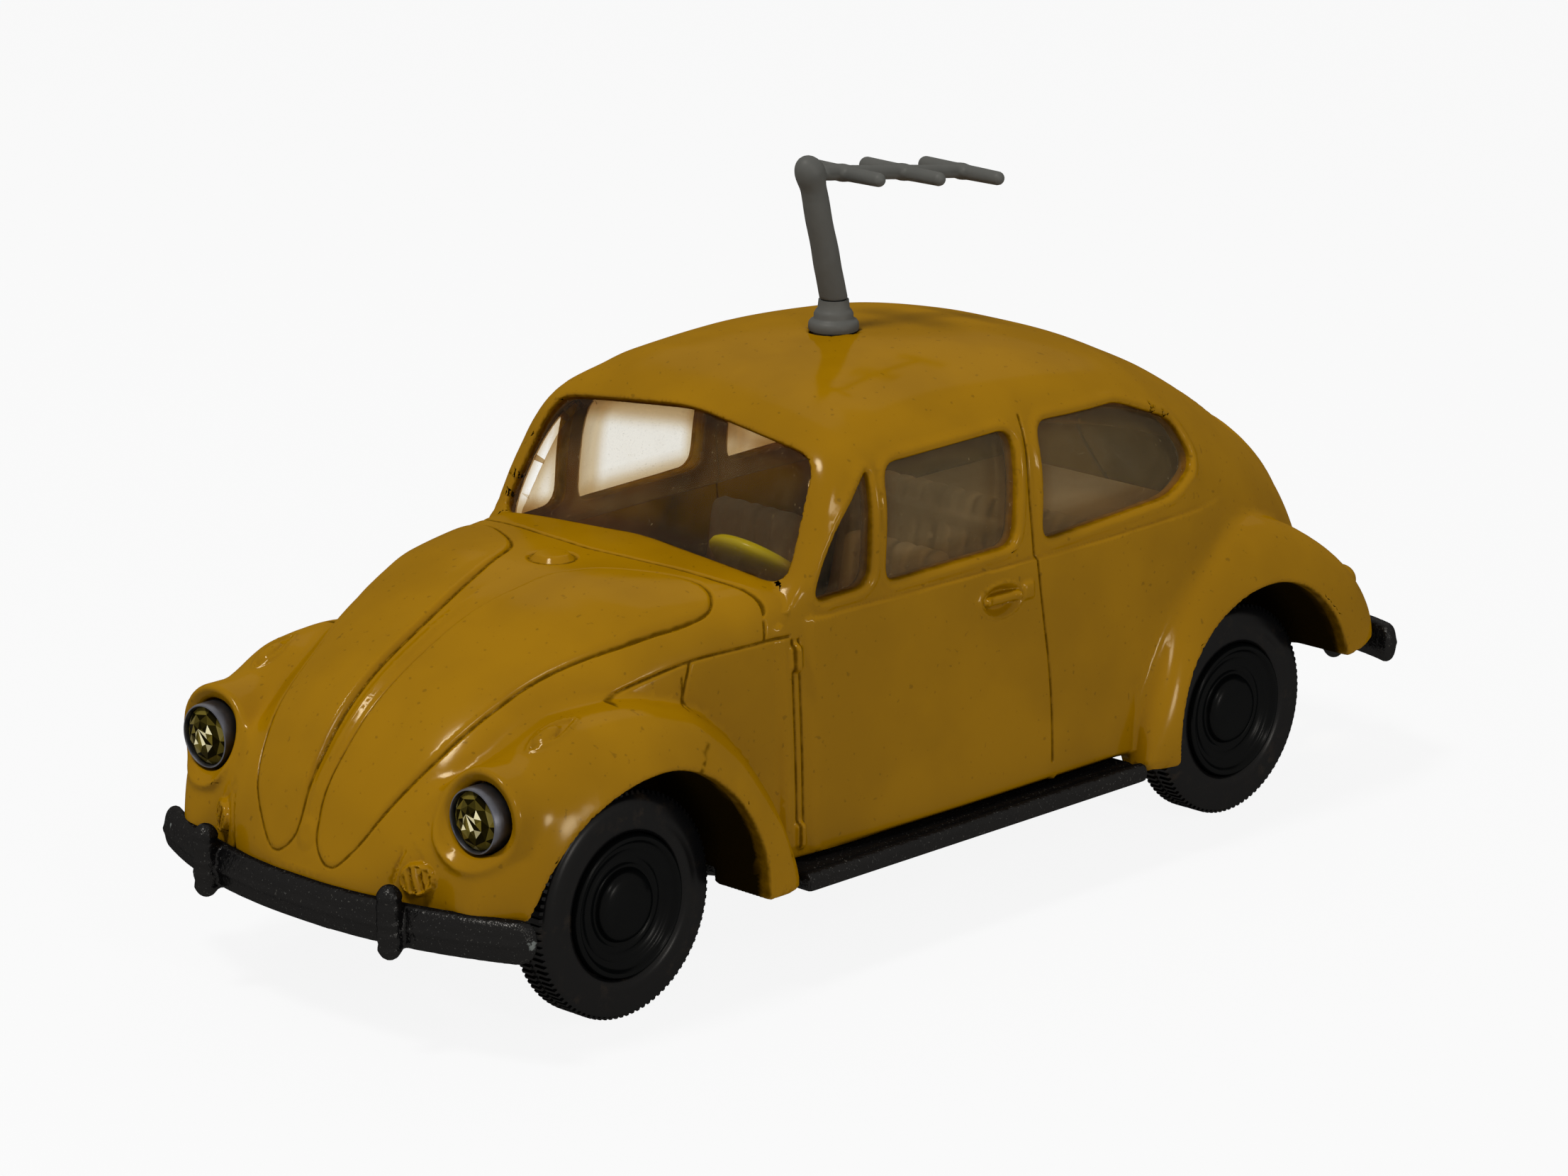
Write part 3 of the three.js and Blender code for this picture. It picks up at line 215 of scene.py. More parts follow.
def metalFinish(start, place, light, deep, rough):
    return start.node("ShaderNodeBsdfPrincipled", {
        "Base Color": place.noise(0.8, 3).mix(deep, light),
        "Metallic": 1.0,
        "Roughness": rough + 0.15 * place.noise(0.6, 2),
        "Normal": bumped(start, place.noise(0.5, 2), 0.02, 0.4),
    })


def jewelGlass(start, place):
    facetLight = marked(start, "facetLight")
    # painted reflections: facets go from dark to olive by their tone, and the highest tones are painted
    # glints
    colour = facetLight.above(0.2, 0.75).mix((0.008, 0.006, 0.001), (0.15, 0.115, 0.018))
    colour = facetLight.above(0.8, 0.92).mix(colour, (0.9, 0.82, 0.5))
    rough = 0.05 + 0.06 * place.noise(0.4, 2)
    return dull(start, colour, rough, None, 0.3 * facetLight)


finish = {
    "ochre_paint": material("ochre_enamel", ochreEnamel),
    "black_paint": material("black_enamel", blackEnamel),
    "clear_plastic": material("clear_plastic", clearPlastic),
    "cream_plastic": material("cream_plastic", plainPlastic, (0.6, 0.45, 0.27), (0.48, 0.34, 0.19), 0.5),
    "olive_plastic": material("olive_plastic", plainPlastic, (0.4, 0.33, 0.003), (0.32, 0.26, 0.002), 0.2),
    "gunmetal": material("gunmetal", metalFinish, (0.12, 0.12, 0.13), (0.06, 0.06, 0.07), 0.34),
    "jewel_glass": material("jewel_glass", jewelGlass),
    "black_plastic": material("black_plastic", plainPlastic, (0.0035, 0.004, 0.004), (0.002, 0.0022, 0.0024),
                              0.24, 0.02, 0.004),
    "tyre_vinyl": material("tyre_vinyl", tyreVinyl),
    "steel": material("steel", metalFinish, (0.55, 0.54, 0.52), (0.4, 0.4, 0.39), 0.25),
    "grey_plastic": material("grey_plastic", plainPlastic, (0.112, 0.111, 0.1), (0.08, 0.08, 0.073),
                             0.46, 0.05),
}
print("materials:", len(finish))


# Flat paths and their distance maps

def curve(points, step=0.04):
    x, y = np.array(sorted(points), float).T
    gap = np.diff(x)
    rise = np.diff(y) / gap
    slope = np.concatenate([rise[:1], np.zeros(len(x) - 2), rise[-1:]])
    product = rise[:-1] * rise[1:]
    turning = product > 0
    slope[1:-1][turning] = 2 * product[turning] / (rise[:-1] + rise[1:])[turning]
    at = np.append(np.arange(x[0], x[-1], step), x[-1])
    k = np.clip(np.searchsorted(x, at, "right") - 1, 0, len(gap) - 1)
    t = (at - x[k]) / gap[k]
    value = y[k] + rise[k] * gap[k] * t * t * (3 - 2 * t)
    value += slope[k] * gap[k] * t * (1 - t) ** 2 + slope[k + 1] * gap[k] * t * t * (t - 1)
    return lambda place: np.interp(place, at, value)


def flowing(points, closed=False, steps=8):  # a smooth path through the points
    p = np.array(points, float)
    if closed:
        p = np.concatenate([p[-1:], p, p[:2]])
    else:
        p = np.concatenate([2 * p[:1] - p[1:2], p, 2 * p[-1:] - p[-2:-1]])
    t = np.linspace(0, 1, steps, endpoint=False)[:, None]
    path = []
    for a, b, c, d in zip(p, p[1:], p[2:], p[3:]):
        path.append(b + 0.5 * t * (c - a + t * (2 * a - 5 * b + 4 * c - d + t * (3 * (b - c) + d - a))))
    return np.concatenate(path + ([] if closed else [p[-2:-1]]))


def roundedOutline(corners, radius, steps=6):
    p = np.array(corners, float)
    t = np.linspace(0, 1, steps)[:, None]
    path = []
    for before, corner, after in zip(np.roll(p, 1, 0), p, np.roll(p, -1, 0)):
        back, ahead = before - corner, after - corner
        cut = min(radius, np.hypot(*back) / 2.2, np.hypot(*ahead) / 2.2)
        start = corner + back / np.hypot(*back) * cut
        end = corner + ahead / np.hypot(*ahead) * cut
        path.append((1 - t) ** 2 * start + 2 * t * (1 - t) * corner + t * t * end)
    return np.concatenate(path)


def distanceMap(paths, closed=False, step=0.1, margin=1.6):
    every = np.concatenate(paths)
    low = every.min(0) - margin
    size = np.ceil((every.max(0) + margin - low) / step).astype(int) + 1
    u, v = np.meshgrid(*(low[i] + step * np.arange(size[i]) for i in (0, 1)), indexing="ij")
    far = np.full(u.shape, margin * 2)
    inside = np.zeros(u.shape, bool)
    for path in paths:
        ends = np.roll(path, -1, 0) if closed else path[1:]
        for (au, av), (bu, bv) in zip(path, ends):
            du, dv = bu - au, bv - av
            t = np.clip(((u - au) * du + (v - av) * dv) / max(du * du + dv * dv, 1e-12), 0, 1)
            far = np.minimum(far, np.hypot(u - au - t * du, v - av - t * dv))
            if closed and av != bv:
                inside ^= ((av > v) != (bv > v)) & (u < du * (v - av) / dv + au)
    far[inside] *= -1

    def sample(pu, pv):
        x = np.clip((pu - low[0]) / step, 0, size[0] - 1.001)
        y = np.clip((pv - low[1]) / step, 0, size[1] - 1.001)
        i, j = x.astype(int), y.astype(int)
        x, y = x - i, y - j
        near = far[i, j] * (1 - x) + far[i + 1, j] * x
        return near * (1 - y) + (far[i, j + 1] * (1 - x) + far[i + 1, j + 1] * x) * y

    return sample


# Solid fields in millimetres, below zero inside

tetraCorners = np.array([(1, 1, 1), (1, -1, -1), (-1, 1, -1), (-1, -1, 1)]) / math.sqrt(3)


def slopeOf(field, p, reach):
    values = np.stack([field(p + reach * corner) for corner in tetraCorners], 1)
    return values.mean(1), values @ tetraCorners * (0.75 / reach)


def levelled(raw, reach=0.06):
    def field(p):
        value, slope = slopeOf(raw, p, reach)
        return value / np.clip(np.linalg.norm(slope, axis=1), 0.4, 2.5)
    return field


def joined(a, b, soft):
    h = np.maximum(soft - np.abs(a - b), 0)
    return np.minimum(a, b) - h * h / (4 * soft)


def cut(a, b, soft):  # what both hold
    return -joined(-a, -b, soft)


def eased(value, low, high):
    t = np.clip((value - low) / (high - low), 0, 1)
    return t * t * (3 - 2 * t)


def ridge(distance, width):
    return np.exp(-(distance / width) ** 2)


def beyond(value, half):  # how far outside a band round zero
    return np.maximum(np.abs(value) - half, 0)


def least(*values):
    return np.minimum.reduce(values)


def greatest(*values):
    return np.maximum.reduce(values)


def folded(p):  # both sides of the car as one
    return p[:, 0], np.abs(p[:, 1]), p[:, 2]


def bar(p, start, end, radius, endRadius=None):  # a round-ended rod, tapered if asked
    start, end = np.array(start, float), np.array(end, float)
    along = end - start
    t = np.clip((p - start) @ along / (along @ along), 0, 1)
    size = radius if endRadius is None else radius + (endRadius - radius) * t
    return np.linalg.norm(p - start - t[:, None] * along, axis=1) - size


def block(p, low, high, corner):
    middle, half = (np.array(low) + high) / 2, (np.array(high) - low) / 2
    out = np.abs(p - middle) - half + corner
    return np.linalg.norm(np.maximum(out, 0), axis=1) + np.minimum(out.max(1), 0) - corner


# Meshes from fields

def surfaceNet(field, low, high, cell):
    low = np.array(low, float)
    size = np.ceil((np.array(high) - low) / cell).astype(int) + 1
    value = field(low + np.indices(size).reshape(3, -1).T * cell).reshape(size)
    quads, crossings = [], []
    for axis in range(3):
        u, v = (axis + 1) % 3, (axis + 2) % 3
        first = value.take(range(size[axis] - 1), axis)
        second = value.take(range(1, size[axis]), axis)
        at = np.argwhere((first < 0) != (second < 0))
        at = at[(at[:, u] > 0) & (at[:, v] > 0) & (at[:, u] < size[u] - 1) & (at[:, v] < size[v] - 1)]
        near, past = first[tuple(at.T)], second[tuple(at.T)]
        point = at.astype(float)
        point[:, axis] += near / (near - past)
        ring = []
        for du, dv in ((0, 0), (1, 0), (1, 1), (0, 1)):
            around = at.copy()
            around[:, u] -= du
            around[:, v] -= dv
            ring.append(np.ravel_multi_index(around.T, size))
        quad = np.stack(ring, 1)
        quad[near > 0] = quad[near > 0][:, ::-1]
        quads.append(quad)
        crossings.append(np.repeat(point[:, None], 4, 1))
    where = np.concatenate(crossings).reshape(-1, 3)
    corner = np.unique(np.concatenate(quads).ravel(), return_inverse=True)[1]
    share = np.bincount(corner)
    points = np.stack([np.bincount(corner, where[:, k]) for k in range(3)], 1) / share[:, None]
    return low + points * cell, corner.reshape(-1, 4)


def settled(field, points, steps=2, reach=0.04, most=0.3):
    for step in range(steps):
        value, slope = slopeOf(field, points, reach)
        move = value / np.maximum((slope ** 2).sum(1), 0.3)
        points = points - np.clip(move, -most, most)[:, None] * slope
    return points


def relaxed(points, quads):
    total = np.zeros_like(points)
    share = np.zeros(len(points))
    for a, b in ((0, 1), (1, 2), (2, 3), (3, 0)):
        for p, q in ((a, b), (b, a)):
            share += np.bincount(quads[:, p], minlength=len(points))
            for k in range(3):
                total[:, k] += np.bincount(quads[:, p], points[quads[:, q], k], len(points))
    return points * 0.5 + total / share[:, None] * 0.5


def triangles(points, quads):
    a, b, c, d = (points[quads[:, k]] for k in range(4))
    short = np.linalg.norm(a - c, axis=1) <= np.linalg.norm(b - d, axis=1)
    first = np.where(short[:, None], quads[:, [0, 1, 2]], quads[:, [0, 1, 3]])
    second = np.where(short[:, None], quads[:, [0, 2, 3]], quads[:, [1, 2, 3]])
    return np.concatenate([first, second])


def splitLong(points, faces, wanted):
    ends = np.sort(faces[:, [[0, 1], [1, 2], [2, 0]]].reshape(-1, 2), 1)
    key, which = np.unique(ends[:, 0] * len(points) + ends[:, 1], return_inverse=True)
    a, b = points[key // len(points)], points[key % len(points)]
    middle = (a + b) / 2
    long = np.linalg.norm(a - b, axis=1) > 1.3 * wanted(middle)
    place = np.full(len(key), -1)
    place[long] = len(points) + np.arange(long.sum())
    added = place[which].reshape(-1, 3)
    count = (added >= 0).sum(1)
    kept = [faces[count == 0]]
    for turn in range(3):
        face, mid = np.roll(faces, -turn, 1), np.roll(added, -turn, 1)
        one = (count == 1) & (mid[:, 0] >= 0)
        (a, b, c), m = face[one].T, mid[one, 0]
        kept += [np.stack(t, 1) for t in ((a, m, c), (m, b, c))]
        two = (count == 2) & (mid[:, 2] < 0)
        (a, b, c), m, n = face[two].T, mid[two, 0], mid[two, 1]
        kept += [np.stack(t, 1) for t in ((m, b, n), (a, m, n), (a, n, c))]
    (a, b, c), (m, n, k) = faces[count == 3].T, added[count == 3].T
    kept += [np.stack(t, 1) for t in ((a, m, k), (m, b, n), (k, n, c), (m, n, k))]
    return np.concatenate([points, middle[long]]), np.concatenate(kept)


def finished(name, mesh, slot, body, *nodes):
    mesh.name = name
    piece = bpy.data.objects.new(name, mesh)
    bpy.context.scene.collection.objects.link(piece)
    mesh.materials.clear()
    mesh.materials.append(finish[slot])
    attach(piece, body)
    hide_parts(*nodes)
    print("piece:", name, len(mesh.polygons), "faces")


def castMesh(field, low, high, cell, wanted=None, rounds=3, marks=None):
    points, quads = surfaceNet(field, low, high, cell)
    for turn in range(2):
        points = settled(field, relaxed(points, quads), 1)
    faces = triangles(points, quads)
    for turn in range(rounds if wanted else 0):
        before = len(points)
        points, faces = splitLong(points, faces, wanted)
        points[before:] = settled(field, points[before:], 2)
    points = settled(field, points, 1)
    normals = slopeOf(field, points, 0.03)[1]
    normals /= np.maximum(np.linalg.norm(normals, axis=1), 1e-9)[:, None]
    mesh = bpy.data.meshes.new("cast")
    mesh.from_pydata((points * mm).tolist(), [], faces.tolist())
    mesh.polygons.foreach_set("use_smooth", np.ones(len(faces), bool))
    for mark, rule in (marks or {}).items():
        attribute = mesh.attributes.new(mark, "FLOAT", "POINT")
        attribute.data.foreach_set("value", rule(points).astype(np.float32))
    mesh.normals_split_custom_set_from_vertices(normals.tolist())
    return mesh


def latheMesh(profile, sides, axis, place, crease):
    axis = Vector(axis).normalized()
    turn = Vector((0, 0, 1)).rotation_difference(axis).to_matrix()
    points, faces, rings = [], [], []
    for radius, along in profile:
        if radius < 1e-6:
            rings.append([len(points)] * sides)
            points.append(Vector((0, 0, along)))
        else:
            rings.append(list(range(len(points), len(points) + sides)))
            for i in range(sides):
                angle = 2 * math.pi * i / sides
                points.append(Vector((radius * math.cos(angle), radius * math.sin(angle), along)))
    for first, second in zip(rings, rings[1:]):
        for i in range(sides):
            j = (i + 1) % sides
            face = [first[i], first[j], second[j], second[i]]
            face = [v for k, v in enumerate(face) if v != face[k - 1]]
            if len(face) > 2:
                faces.append(face)
    mesh = bpy.data.meshes.new("turned")
    mesh.from_pydata([(turn @ p + Vector(place)) * mm for p in points], [], faces)
    mesh.polygons.foreach_set("use_smooth", np.ones(len(faces), bool))
    mesh.set_sharp_from_angle(angle=math.radians(crease))
    return mesh


# Body casting

layout = {  # main places of the casting, in millimetres
    "noseTip": 43.9, "windscreenFoot": 15, "windscreenHead": 11.2, "roofPeak": -2.5, "tailTip": -43.1,
    "frontAxle": 29.3, "rearAxle": -27.5, "axleHeight": 7.15,
    "sill": 7.3, "apron": 9.8, "noseEdge": 9.05, "belt": 22.4, "cowl": 25.25, "header": 32.3, "roof": 35.35,
    "doorHalf": 14.9, "cowlHalf": 13.4, "fenderHalf": 17.3, "fenderMiddle": 12,
    "lampStation": 40.9, "lampSide": 12.05, "lampHeight": 14.95, "aerialStation": -2.4,
}
(nose, foot, head, peak, tail, front, rear, axleUp, sill, apron, noseEdge, belt, cowl, header, roof,
 door, cowlHalf, wide, fenderMiddle, lamp, lampSide, lampUp, aerialAt) = layout.values()

cabinForm = {
    "top": curve([
        (foot + 1.5, cowl - 3), (foot, cowl), (head, header), (head - 2, header + 1.3),
        (head - 5.7, roof - 0.6), (peak, roof), (peak - 7.5, roof - 0.35), (peak - 14.5, roof - 1.6),
        (tail + 20.3, roof - 3.8), (tail + 15.3, roof - 6.1), (tail + 10.3, roof - 9.1),
        (tail + 6.3, roof - 12.1), (tail + 3.3, apron + 9.7), (tail + 1.3, apron + 5.9), (tail, apron + 1),
    ]),
    "shoulder": curve([
        (foot, belt), (peak - 8, belt), (peak - 17, belt - 2.4), (peak - 25.5, belt - 8.4),
        (peak - 33, apron + 1), (tail, apron),
    ]),
    "waist": curve([
        (foot + 1.5, cowlHalf + 0.1), (foot - 2, cowlHalf + 0.6), (foot - 8, door - 0.6),
        (peak + 2.5, door - 0.4), (peak - 5.5, door - 0.2), (peak - 17, door - 0.5),
        (tail + 15.3, door - 1.3), (tail + 7.3, door - 3.6), (tail + 3.3, door - 5.8), (tail, door - 9),
    ]),
    "sill": curve([
        (foot + 1.5, door - 0.6), (peak + 2.5, door), (peak - 17, door), (tail + 7.3, door - 3.4),
        (tail + 3.3, door - 5.7), (tail, door - 9),
    ]),
    "power": curve([(foot, 5), (head, 5), (head - 4, 3.9), (peak, 3.4), (tail, 2.6)]),
    "floor": curve([(rear + 8, sill), (rear - 6, apron)]),
    "ends": (tail, foot + 1.5),
}
noseWaist = curve([
    (foot - 2, cowlHalf + 0.6), (foot + 3, cowlHalf + 0.2), (front, cowlHalf - 1.2),
    (nose - 6, cowlHalf - 2.6), (nose - 3, cowlHalf - 3.5), (nose - 1.5, cowlHalf - 5),
    (nose - 0.5, cowlHalf - 7.6), (nose, cowlHalf - 10.4),
])
noseForm = {
    "top": curve([
        (foot - 2, cowl - 0.9), (foot, cowl - 0.1), (foot + 7, cowl - 0.1), (front - 4.5, cowl - 0.15),
        (front - 1.8, cowl - 0.75), (front + 1.2, cowl - 1.7), (nose - 10.5, cowl - 3),
        (nose - 7.2, cowl - 4.8), (nose - 4.9, apron + 8.9), (nose - 2.9, apron + 6.7),
        (nose - 1.5, apron + 4.7), (nose - 0.7, apron + 2.4), (nose, apron + 0.4),
    ]),
    "shoulder": curve([
        (foot - 2, belt - 3), (front - 9, belt - 4), (front, belt - 7), (nose - 8, apron + 1.9),
        (nose, apron),
    ]),
    "waist": noseWaist,
    "sill": noseWaist,
    "power": curve([(foot, 5), (front, 3.4), (nose, 2.4)]),
    "floor": curve([(front - 9, sill), (front + 4, noseEdge)]),
    "ends": (foot - 2, nose),
}
frontEnd = front - 11.7  # rear end of the front fenders
rearEnd = rear + 12.8  # front end of the rear fenders
frontFender = {
    "top": curve([
        (frontEnd, sill - 0.4), (frontEnd + 0.5, sill + 3), (frontEnd + 1.9, sill + 6.6),
        (frontEnd + 4.3, sill + 9.7), (frontEnd + 7.5, sill + 11.7), (front + 0.4, sill + 12.6),
        (front + 4.2, sill + 12.3), (lamp - 4.6, lampUp + 3.5), (lamp - 2.5, lampUp + 2.1),
        (lamp - 1, lampUp), (lamp + 0.3, lampUp - 2.6), (lamp + 1.1, apron + 0.3),
    ]),
    "outside": curve([
        (frontEnd, wide - 0.7), (frontEnd + 1.5, wide - 0.2), (front + 0.7, wide),
        (front + 6.7, wide - 0.7), (lamp - 2.2, wide - 1.4), (lamp - 1, wide - 2.2),
        (lamp + 0.2, wide - 3.4), (lamp + 1.1, wide - 4.6),
    ]),
    "bottom": curve([(front - 6, sill - 1), (front + 5, noseEdge)]),
    "ends": (frontEnd, lamp + 1.1),
}
rearFender = {
    "top": curve([
        (rearEnd, sill - 0.4), (rearEnd - 0.6, sill + 3), (rearEnd - 2, sill + 6.6),
        (rearEnd - 4.2, sill + 9.9), (rearEnd - 7, sill + 12.2), (rear + 2.5, sill + 13.4),
        (rear - 1, sill + 13.2), (rear - 4.5, sill + 12.1), (rear - 7.4, sill + 10.6),
        (rear - 10.4, sill + 8.4), (rear - 12.4, sill + 6), (rear - 13.7, apron + 0.3),
    ]),
    "outside": curve([
        (rearEnd, wide - 0.6), (rear + 9.5, wide), (rear - 2.5, wide), (rear - 6.5, wide - 0.5),
        (rear - 9.5, wide - 1), (rear - 11.6, wide - 1.8), (rear - 12.9, wide - 2.7),
        (rear - 13.7, wide - 3.7),
    ]),
    "bottom": curve([(rear + 8, sill - 1), (rear - 6, apron)]),
    "ends": (rear - 13.7, rearEnd),
}


def archField(form):
    def raw(p):
        x, y, z = folded(p)
        top, waist, low = form["top"](x), form["waist"](x), form["sill"](x)
        shoulder = np.minimum(form["shoulder"](x), top - 0.2)
        up = np.maximum(z - shoulder, 0) / (top - shoulder)
        power = form["power"](x)
        reach = ((y / waist) ** power + up ** power) ** (1 / power)
        floor = form["floor"](x)
        t = np.clip((z - floor) / np.maximum(shoulder - floor, 0.3), 0, 1)
        return np.where(z > shoulder, (reach - 1) * waist, y - low - (waist - low) * t * t)
    return levelled(raw)


def fenderField(form, power=2.5):
    def raw(p):
        x, y, z = p[:, 0], np.abs(np.abs(p[:, 1]) - fenderMiddle), p[:, 2]
        bottom = form["bottom"](x)
        half = form["outside"](x) - fenderMiddle
        up = np.maximum(z - bottom, 0) / np.maximum(form["top"](x) - bottom, 0.4)
        return (((y / half) ** power + up ** power) ** (1 / power) - 1) * half
    return levelled(raw)


cabinSkin, noseSkin = archField(cabinForm), archField(noseForm)
frontSkin, rearSkin = fenderField(frontFender), fenderField(rearFender)


def ended(value, form, x, soft=0.5):
    first, last = form["ends"]
    return cut(cut(value, x - last, soft), first - x, soft)


windows = {  # side windows as x, z and screens as y, z
    "vent": [
        (foot - 1.1, belt + 0.8), (foot - 5.9, belt + 1), (foot - 6.4, belt + 8.2),
        (foot - 5.4, belt + 7.4), (foot - 3.3, belt + 5.2), (foot - 1.9, belt + 3),
    ],
    "door": [
        (foot - 7.2, belt + 0.9), (foot - 18.8, belt + 1.1), (foot - 19.5, belt + 8.4),
        (foot - 7.8, belt + 8.2),
    ],
    "quarter": [
        (foot - 21.4, belt + 0.9), (foot - 34.4, belt + 1.3), (foot - 37.7, belt + 2.8),
        (foot - 36.4, belt + 5.8), (foot - 30.6, belt + 8), (foot - 21.8, belt + 8.4),
    ],
    "screen": [
        (-12.7, cowl - 0.9), (0, cowl - 0.1), (12.7, cowl - 0.9), (11.5, header - 0.7), (0, header + 0.5),
        (-11.5, header - 0.7),
    ],
    "rearScreen": [
        (-8.4, belt + 2.8), (8.4, belt + 2.8), (7.4, belt + 7.8), (0, belt + 8.3), (-7.4, belt + 7.8),
    ],
}
sideWindows = distanceMap([roundedOutline(windows[k], 1.2) for k in ("vent", "door", "quarter")], True)
screenMap = distanceMap([roundedOutline(windows["screen"], 1.6)], True)
rearScreenMap = distanceMap([roundedOutline(windows["rearScreen"], 1.9)], True)
panes = {"front": (foot, cowl, 0.880, 0.475), "back": (tail + 13.6, 28.2, -0.514, 0.857), "depth": 2.8}


def squareCut(outline, pane, p):  # cut square to a leaning pane: a point on it and its outward direction
    x, z, outX, outZ = panes[pane]
    out = (p[:, 0] - x) * outX + (p[:, 2] - z) * outZ
    return np.maximum(outline(p[:, 1], p[:, 2] - outZ * out), -panes["depth"] - out)


def windowField(p):  # below zero in the window openings
    side = np.maximum(sideWindows(p[:, 0], p[:, 2]), 6.5 - np.abs(p[:, 1]))
    screens = np.minimum(squareCut(screenMap, "front", p), squareCut(rearScreenMap, "back", p))
    return np.minimum(side, screens)


# Lines of the casting, with bonnet and tail unrolled round a cross axis to an arc length

bonnetDrum = {"x": 28, "z": 8, "radius": 17}
tailDrum = {"x": -22, "z": 8, "radius": 20}


def unrolled(p, drum, way):
    return np.arctan2(p[:, 2] - drum["z"], way * (p[:, 0] - drum["x"])) * drum["radius"]


def onDrum(points, drum):  # degrees to arc length
    return [(math.radians(a) * drum["radius"], y) for a, y in points]


panelEdge = flowing(onDrum([
    (9.3, 2.2), (13, 1.05), (19, 0.75), (29, 0.75), (38, 0.85), (57, 1.0), (78, 1.2), (94, 2.1),
    (102.5, 2.9), (108.8, 4.2), (114.2, 7.4), (116.6, 10), (115, 11.7), (109.6, 11.9), (96.6, 11.13),
    (70.8, 8.9), (58.6, 8.2), (46.7, 7.6), (35.9, 6.9), (20.9, 5.3), (11.2, 3.4),
], bonnetDrum), True, 6)
bonnetPanel = distanceMap([panelEdge], True)
bonnetShut = distanceMap([flowing(onDrum([
    (116, 0), (116.6, 2.7), (117.3, 5.5), (119.4, 9.4), (122.5, 11.6), (125, 13.1),
], bonnetDrum))])
lidEdge = flowing(onDrum([
    (56, 0), (55, 4), (50, 6.8), (40, 7.6), (26, 7.2), (14, 5.8), (10, 3), (9.5, 0),
], tailDrum))
tailLid = distanceMap([np.concatenate([lidEdge, lidEdge[::-1] * (1, -1)])], True)
sideLines = distanceMap([flowing(path) for path in (
    [(16, 21.5), (19.9, 21.4), (23.4, 21.25), (26.8, 20.65), (29.9, 19.9)],
    [(23.5, 21.2), (23.95, 20), (24.4, 18.5)],
    [(-5.6, 31.4), (-5.2, 27), (-5.6, 22.7), (-6.1, 18.9), (-6.7, 15), (-7, 11.6), (-7.1, 8.6)],
    [(15.8, 21.2), (15.75, 15), (15.7, 8)],
    [(15.3, 21.2), (15.2, 15), (15.15, 8)],
    [(17.65, 22.6), (17.8, 21.6)],
)])
fenderCrack = distanceMap([flowing([
    (24.3, 12.8), (23.5, 13.6), (23.6, 14.4), (24.1, 15), (25, 15.7), (26, 16.3),
])])
leafEdge = distanceMap([flowing([
    (36.6, 12.28), (35.6, 11.72), (34.4, 11.8), (32.9, 12.6), (34.4, 13.25), (35.7, 13.0),
], True)], True)
frontSeam = distanceMap([flowing([(7.0, 9.2), (7.25, 10.9), (7.65, 12.5)])])

detail = {  # small forms of the casting, in millimetres
    "lineDepth": 0.13, "lineWidth": 0.11, "dirtWidth": 0.12,
    "badge": (22.7, 1.3, 1.4),  # place along, half length, half width
    "grip": (4.4, 1.3, 0.95),  # the same, along the bonnet's drum
    "handle": (-2.2, 20.3), "lock": (-4.65, 20.5), "hinge": 15.5, "hinges": (20.05, 8.7),
    "lampCollar": 2.95, "lampRing": 2.85, "lampSocket": 2.2,
    "horn": (8.8, 10.95), "slats": (8.55, 0.5),  # place across, height; first slat, pitch
    "indicator": (35.6, 12.35), "indicatorLow": 15,
    "rearLamp": (-39.3, 12.4, 13.6), "rearLampRadius": 1.15,
}
away = 9.0  # a distance out of reach of every line and edge


def badgeRound(x, y):  # one at the edge of the plain boss below the screen
    at, half, halfWide = detail["badge"]
    return np.hypot((x - at) / half, y / halfWide)


def creases(p):  # distances to the bonnet panels, the bonnet's shut line, the rear lid and the flanks' lines
    y = np.abs(p[:, 1])
    arc, back = unrolled(p, bonnetDrum, 1), unrolled(p, tailDrum, -1)
    return bonnetPanel(arc, y), bonnetShut(arc, y), tailLid(back, y), sideLines(p[:, 0], p[:, 2])


def groove(distance):
    return detail["lineDepth"] * ridge(distance, detail["lineWidth"])


def onBonnet(x):
    return eased(x, foot + 0.6, foot + 1.6)


def onTail(x):
    return eased(-x, 27, 28.5)


